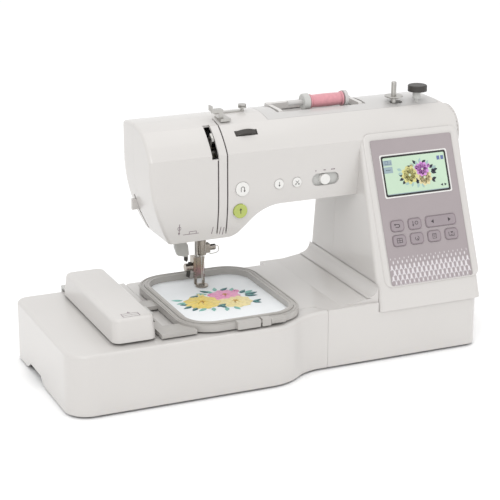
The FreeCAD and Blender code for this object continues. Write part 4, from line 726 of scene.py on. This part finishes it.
def stitched(name, shapes, look, bulge=0.8):
    """Satin stitches: each shape is (a, b, length, half width, direction, layer), a dome of fine threads."""
    points, faces = [], []
    for a, b, length, wide_, turn, layer in shapes:
        strands = max(10, int(length / 0.55))
        sides = 7
        start = len(points)
        for i in range(strands + 1):
            t = i / strands
            half = wide_ * math.sin(math.pi * min(max(t, 0.03), 0.97) ** bulge)
            for k in range(sides):
                v = 2 * k / (sides - 1) - 1
                ridge = 0.10 if i % 2 else 0.0
                height = 0.12 + layer * 0.28 + 0.42 * (1 - v * v) * (1 - abs(2 * t - 1) ** 3) + ridge
                slant = 0.35 * half * (1 - abs(v))
                x, y = length * t + slant * 0.4, half * v
                points.append((hoop_x + (a + x * math.cos(turn) - y * math.sin(turn)) * MM,
                               hoop_y + (b + x * math.sin(turn) + y * math.cos(turn)) * MM,
                               cloth_z + (height if abs(v) < 0.99 else -0.1) * MM))
        for i in range(strands):
            for k in range(sides - 1):
                p = start + i * sides + k
                faces.append([p, p + 1, p + sides + 1, p + sides])
    piece(name, points, faces, look, "frame_slide", "thread")


for thread in screen_looks:
    shapes, leaves = [], []
    for kind, a, b, size, turn, wanted in bouquet:
        if kind == "leaf" and wanted == thread:
            leaves.append((a, b, size, size * 0.24, turn, 0))
        if kind in ("bloom", "bud") and wanted == thread:
            shapes += flower_petals(a, b, size, turn, 4 if kind == "bloom" else 1)
    if shapes:
        stitched("stitches_" + thread, shapes, thread, bulge=1.7)
    else:
        stitched("stitches_" + thread, leaves, thread)
vein_layer = 1.2
hearts, veins = [], []
for kind, a, b, size, turn, wanted in bouquet:
    if kind == "bloom":
        hearts += [(a + math.cos(k) * 1.0, b + math.sin(k) * 1.0, 2.6, 0.9, k, 3) for k in range(6)]
    if kind == "leaf" and size > 9:
        veins.append((a + math.cos(turn) * size * 0.12, b + math.sin(turn) * size * 0.12,
                      size * 0.72, 0.35, turn, vein_layer))
stitched("stitches_heart", hearts, "amber")
stitched("stitches_vein", veins, "mint")


# ---------------------------------------------------------------- thread
low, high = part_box("thread_spool")
centre = (low + high) / 2
reel = (high.z - low.z) / 2
length = high.x - low.x
profile = [(0.2 * MM, 3.4 * MM), (0.2 * MM, reel), (1.6 * MM, reel), (2.2 * MM, reel * 0.62)]
turns = int((length - 6 * MM) / (0.9 * MM))
for i in range(turns * 2 + 1):
    t = i / (turns * 2)
    fill = reel * (0.86 + 0.05 * math.sin(math.pi * t)) - (0.0 if i % 2 else 0.22 * MM)
    profile.append((3.0 * MM + (length - 6 * MM) * t, fill))
profile += [(length - 2.2 * MM, reel * 0.62), (length - 1.6 * MM, reel), (length - 0.2 * MM, reel),
            (length - 0.2 * MM, 3.4 * MM)]
points, faces = lathe(profile, (low.x, centre.y, centre.z), (1, 0, 0))
wound = piece("wound_spool", points, faces, "pink", body_of["thread_spool"], "thread", smooth=True)
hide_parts("thread_spool")

needle_box_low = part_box("needle")[0]
eye = Vector((needle_x, needle_box_low.y, needle_box_low.z + 4.0 * MM))
clamp_low, clamp_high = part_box("needle_clamp")
start = Vector((needle_x + 1.6 * MM, needle_y - 3.2 * MM, clamp_high.z + 1.0 * MM))
lead = bend_through([start + Vector((0.4, -0.6, 18)) * MM, start + Vector((0.9, -1.0, 6)) * MM,
                     start + Vector((0.2, -2.8, -8)) * MM, eye + Vector((0.6, -2.0, 14)) * MM,
                     eye + Vector((0.0, -0.9, 1.0)) * MM, eye + Vector((0.0, -0.75, -2.0)) * MM])
piece("needle_thread", *wire(lead, 0.2 * MM, 6), "thread", body_of["needle"], "thread", smooth=True)


# ---------------------------------------------------------------- head details
def solid_of(name, outline, y0, y1, look, body, slot, soft=0.6):
    """A flat part cut from plate between two depths, with softened edges."""
    shape = [(a * MM, b * MM) for a, b in outline]
    points, faces = plates([shape], lambda a, b, h: Vector((a, h, b)), y0, y1)
    obj = piece(name, points, faces, look, body, slot)
    bevel = obj.modifiers.new("soft", "BEVEL")
    bevel.width = soft * MM
    bevel.segments = 3
    return obj


# outlines are in mm: the threader's from the needle and the clamp's foot, the wing's from the foot's top
nx, ny = needle_x / MM, needle_y / MM
cz = clamp_low.z / MM
arm_outline = [(-31, 22), (-31, 10), (-28, 1), (-17, -2), (-14.5, 1), (-15.5, 12), (-19, 17), (-19, 36),
               (-25, 36), (-25, 24)]
hook_outline = [(-20, -2), (-20, -6), (-17, -8), (-15.6, -6), (-15.6, -1)]
wing_outline = [(-15, -22), (-11, -24), (-9, -12), (-8, -6), (-12, -5)]
solid_of("threader_arm", [(nx + a, cz + b) for a, b in arm_outline],
         (ny + 2) * MM, (ny + 8) * MM, "clear_grey", "threader", "clear_grey")
solid_of("threader_hook", [(nx + a, cz + b) for a, b in hook_outline],
         (ny + 3) * MM, (ny + 5) * MM, "dark", "threader", "dark_plastic", soft=0.3)
foot_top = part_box("embroidery_foot")[1].z / MM
bar_y = middle("presser_bar").y
solid_of("foot_wing", [(nx + a, foot_top + b) for a, b in wing_outline],
         bar_y - 3 * MM, bar_y - 1.4 * MM, "dark", body_of["embroidery_foot"], "dark_plastic", soft=0.3)
guide = bend_through([(clamp_high.x - 7 * MM, needle_y - 3 * MM, clamp_low.z + 9 * MM),
                      (clamp_high.x + 1 * MM, needle_y - 4 * MM, clamp_low.z + 9.5 * MM),
                      (clamp_high.x + 3.2 * MM, needle_y - 4 * MM, clamp_low.z + 5.5 * MM),
                      (clamp_high.x + 1.0 * MM, needle_y - 4 * MM, clamp_low.z + 1.5 * MM),
                      (clamp_high.x - 8 * MM, needle_y - 4 * MM, clamp_low.z + 0.5 * MM)])
piece("clamp_thread_guide", *wire(guide, 0.55 * MM), "chrome", body_of["needle_clamp"], "chrome", smooth=True)


# ---------------------------------------------------------------- hoop and carriage details
hoop_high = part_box("hoop_outer")[1]
inner_low, inner_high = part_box("hoop_inner")


def on_carriage(a, b, h):
    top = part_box("carriage_case")[1]
    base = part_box("carriage_case")[0]
    return Vector(((base.x + top.x) / 2 + a * MM, base.y + 14 * MM + b * MM, top.z + h * MM))


piece("carriage_marks", *plates(
    frame_strokes(-9, 9, -3, 6, 0.7) + stroke([(-9, 1.5), (9, 1.5)], 0.5) + [[(-2, 8), (2, 8), (0, 11)]],
    on_carriage, -0.05, 0.06), "pale_ink", "carriage", "unit")
ring_width = 5.3 * MM
ring_corner = 38 * MM


def hoop_outline(inset):
    x0, x1 = inner_low.x - ring_width + inset, inner_high.x + ring_width - inset
    y0, y1 = inner_low.y - ring_width + inset, inner_high.y + ring_width - inset
    return rounded(x0, x1, y0, y1, ring_corner - inset, 14)


# ribs on both rings, in mm: (inset from the outer ring's edge, drop below the inner ring's top, height)
for number, (at_inset, drop, tall) in enumerate(((1.0, 1.2, 0.7), (6.6, 0.0, 0.5))):
    level = inner_high.z - drop * MM
    points, faces = rim(lambda inset: hoop_outline(at_inset * MM + inset),
                        lambda a, b, h: Vector((a, b, level + h)),
                        [(0, -0.2 * MM), (0.15 * MM, tall * MM), (0.9 * MM, tall * MM),
                         (1.1 * MM, -0.2 * MM)])
    piece("hoop_rib_%d" % number, points, faces, "hoop", "frame_slide", "hoop_grey", smooth=False)

hoop_marks = []
for k in range(-3, 4):
    hoop_marks += stroke([(k * 6.0, 0), (k * 6.0, 2.2 if k % 3 else 4.0)], 0.45)


def on_ring(a, b, h):
    return Vector((hoop_x + a * MM, hoop_high.y - 8.0 * MM + b * MM, hoop_high.z + h * MM))


piece("hoop_scale", *plates(hoop_marks, on_ring, -0.05, 0.06), "pale_ink", "frame_slide", "hoop_grey")


# ---------------------------------------------------------------- softened edges on CAD pieces
edge_radii = {"reverse_button": 0.9, "start_button": 0.9, "needle_button": 0.8, "cutter_button": 0.8,
              "speed_slider": 0.8, "carriage_case": 1.2, "hoop_outer": 0.6, "hoop_inner": 0.5,
              "presser_lever": 0.6, "needle_clamp": 0.4, "frame_holder": 0.5, "embroidery_foot": 0.3,
              "carry_handle": 1.0, "winder_stop": 0.6, "threader_lever": 0.5}
for name, size in edge_radii.items():
    bevel = nodes[name].modifiers.new("soft_edges", "BEVEL")
    bevel.width = size * MM
    bevel.segments = 3
    bevel.limit_method = "ANGLE"
    bevel.angle_limit = math.radians(35)
    bevel.use_clamp_overlap = True


# ---------------------------------------------------------------- floor, light and camera
floor_points = [(-3, -3, 0), (3, -3, 0), (3, 3, 0), (-3, 3, 0)]
data = bpy.data.meshes.new("studio_floor")
data.from_pydata(floor_points, [], [[0, 1, 2, 3]])
floor = bpy.data.objects.new("studio_floor", data)
bpy.context.collection.objects.link(floor)
data.materials.append(surface("studio_white", "#ffffff", rough=0.9, vary=0.003, patch=2.0))

scene = bpy.context.scene
world = bpy.data.worlds.new("studio")
world.use_nodes = True
world.node_tree.nodes["Background"].inputs["Color"].default_value = (1.0, 1.0, 1.0, 1.0)
world.node_tree.nodes["Background"].inputs["Strength"].default_value = 1.0
scene.world = world
scene.view_settings.view_transform = "Standard"


def soft_light(name, at, aim, size, power):
    lamp = bpy.data.lights.new(name, "AREA")
    lamp.shape = "SQUARE"
    lamp.size = size
    lamp.energy = power
    obj = bpy.data.objects.new(name, lamp)
    obj.location = at
    obj.rotation_euler = (Vector(aim) - Vector(at)).to_track_quat("-Z", "Y").to_euler()
    bpy.context.collection.objects.link(obj)


middle_of = (0.0, 0.0, 0.12)
soft_light("key", (-0.9, -1.3, 1.5), middle_of, 0.9, 9)
soft_light("fill", (1.3, -1.0, 0.8), middle_of, 1.2, 1.5)
soft_light("overhead", (0.0, 0.2, 1.6), middle_of, 1.4, 5)

azimuth, elevation, distance = math.radians(-23.5), math.radians(18.1), 2.24
target = Vector((0.137, 0.343, 0.0))
lens = bpy.data.cameras.new("photo_camera")
lens.lens = 120.46
lens.sensor_width = 36.0
camera = bpy.data.objects.new("photo_camera", lens)
camera.location = target + distance * Vector((math.sin(azimuth) * math.cos(elevation),
                                              -math.cos(azimuth) * math.cos(elevation), math.sin(elevation)))
camera.rotation_euler = (math.pi / 2 - elevation, 0.0, azimuth)
bpy.context.collection.objects.link(camera)
scene.camera = camera

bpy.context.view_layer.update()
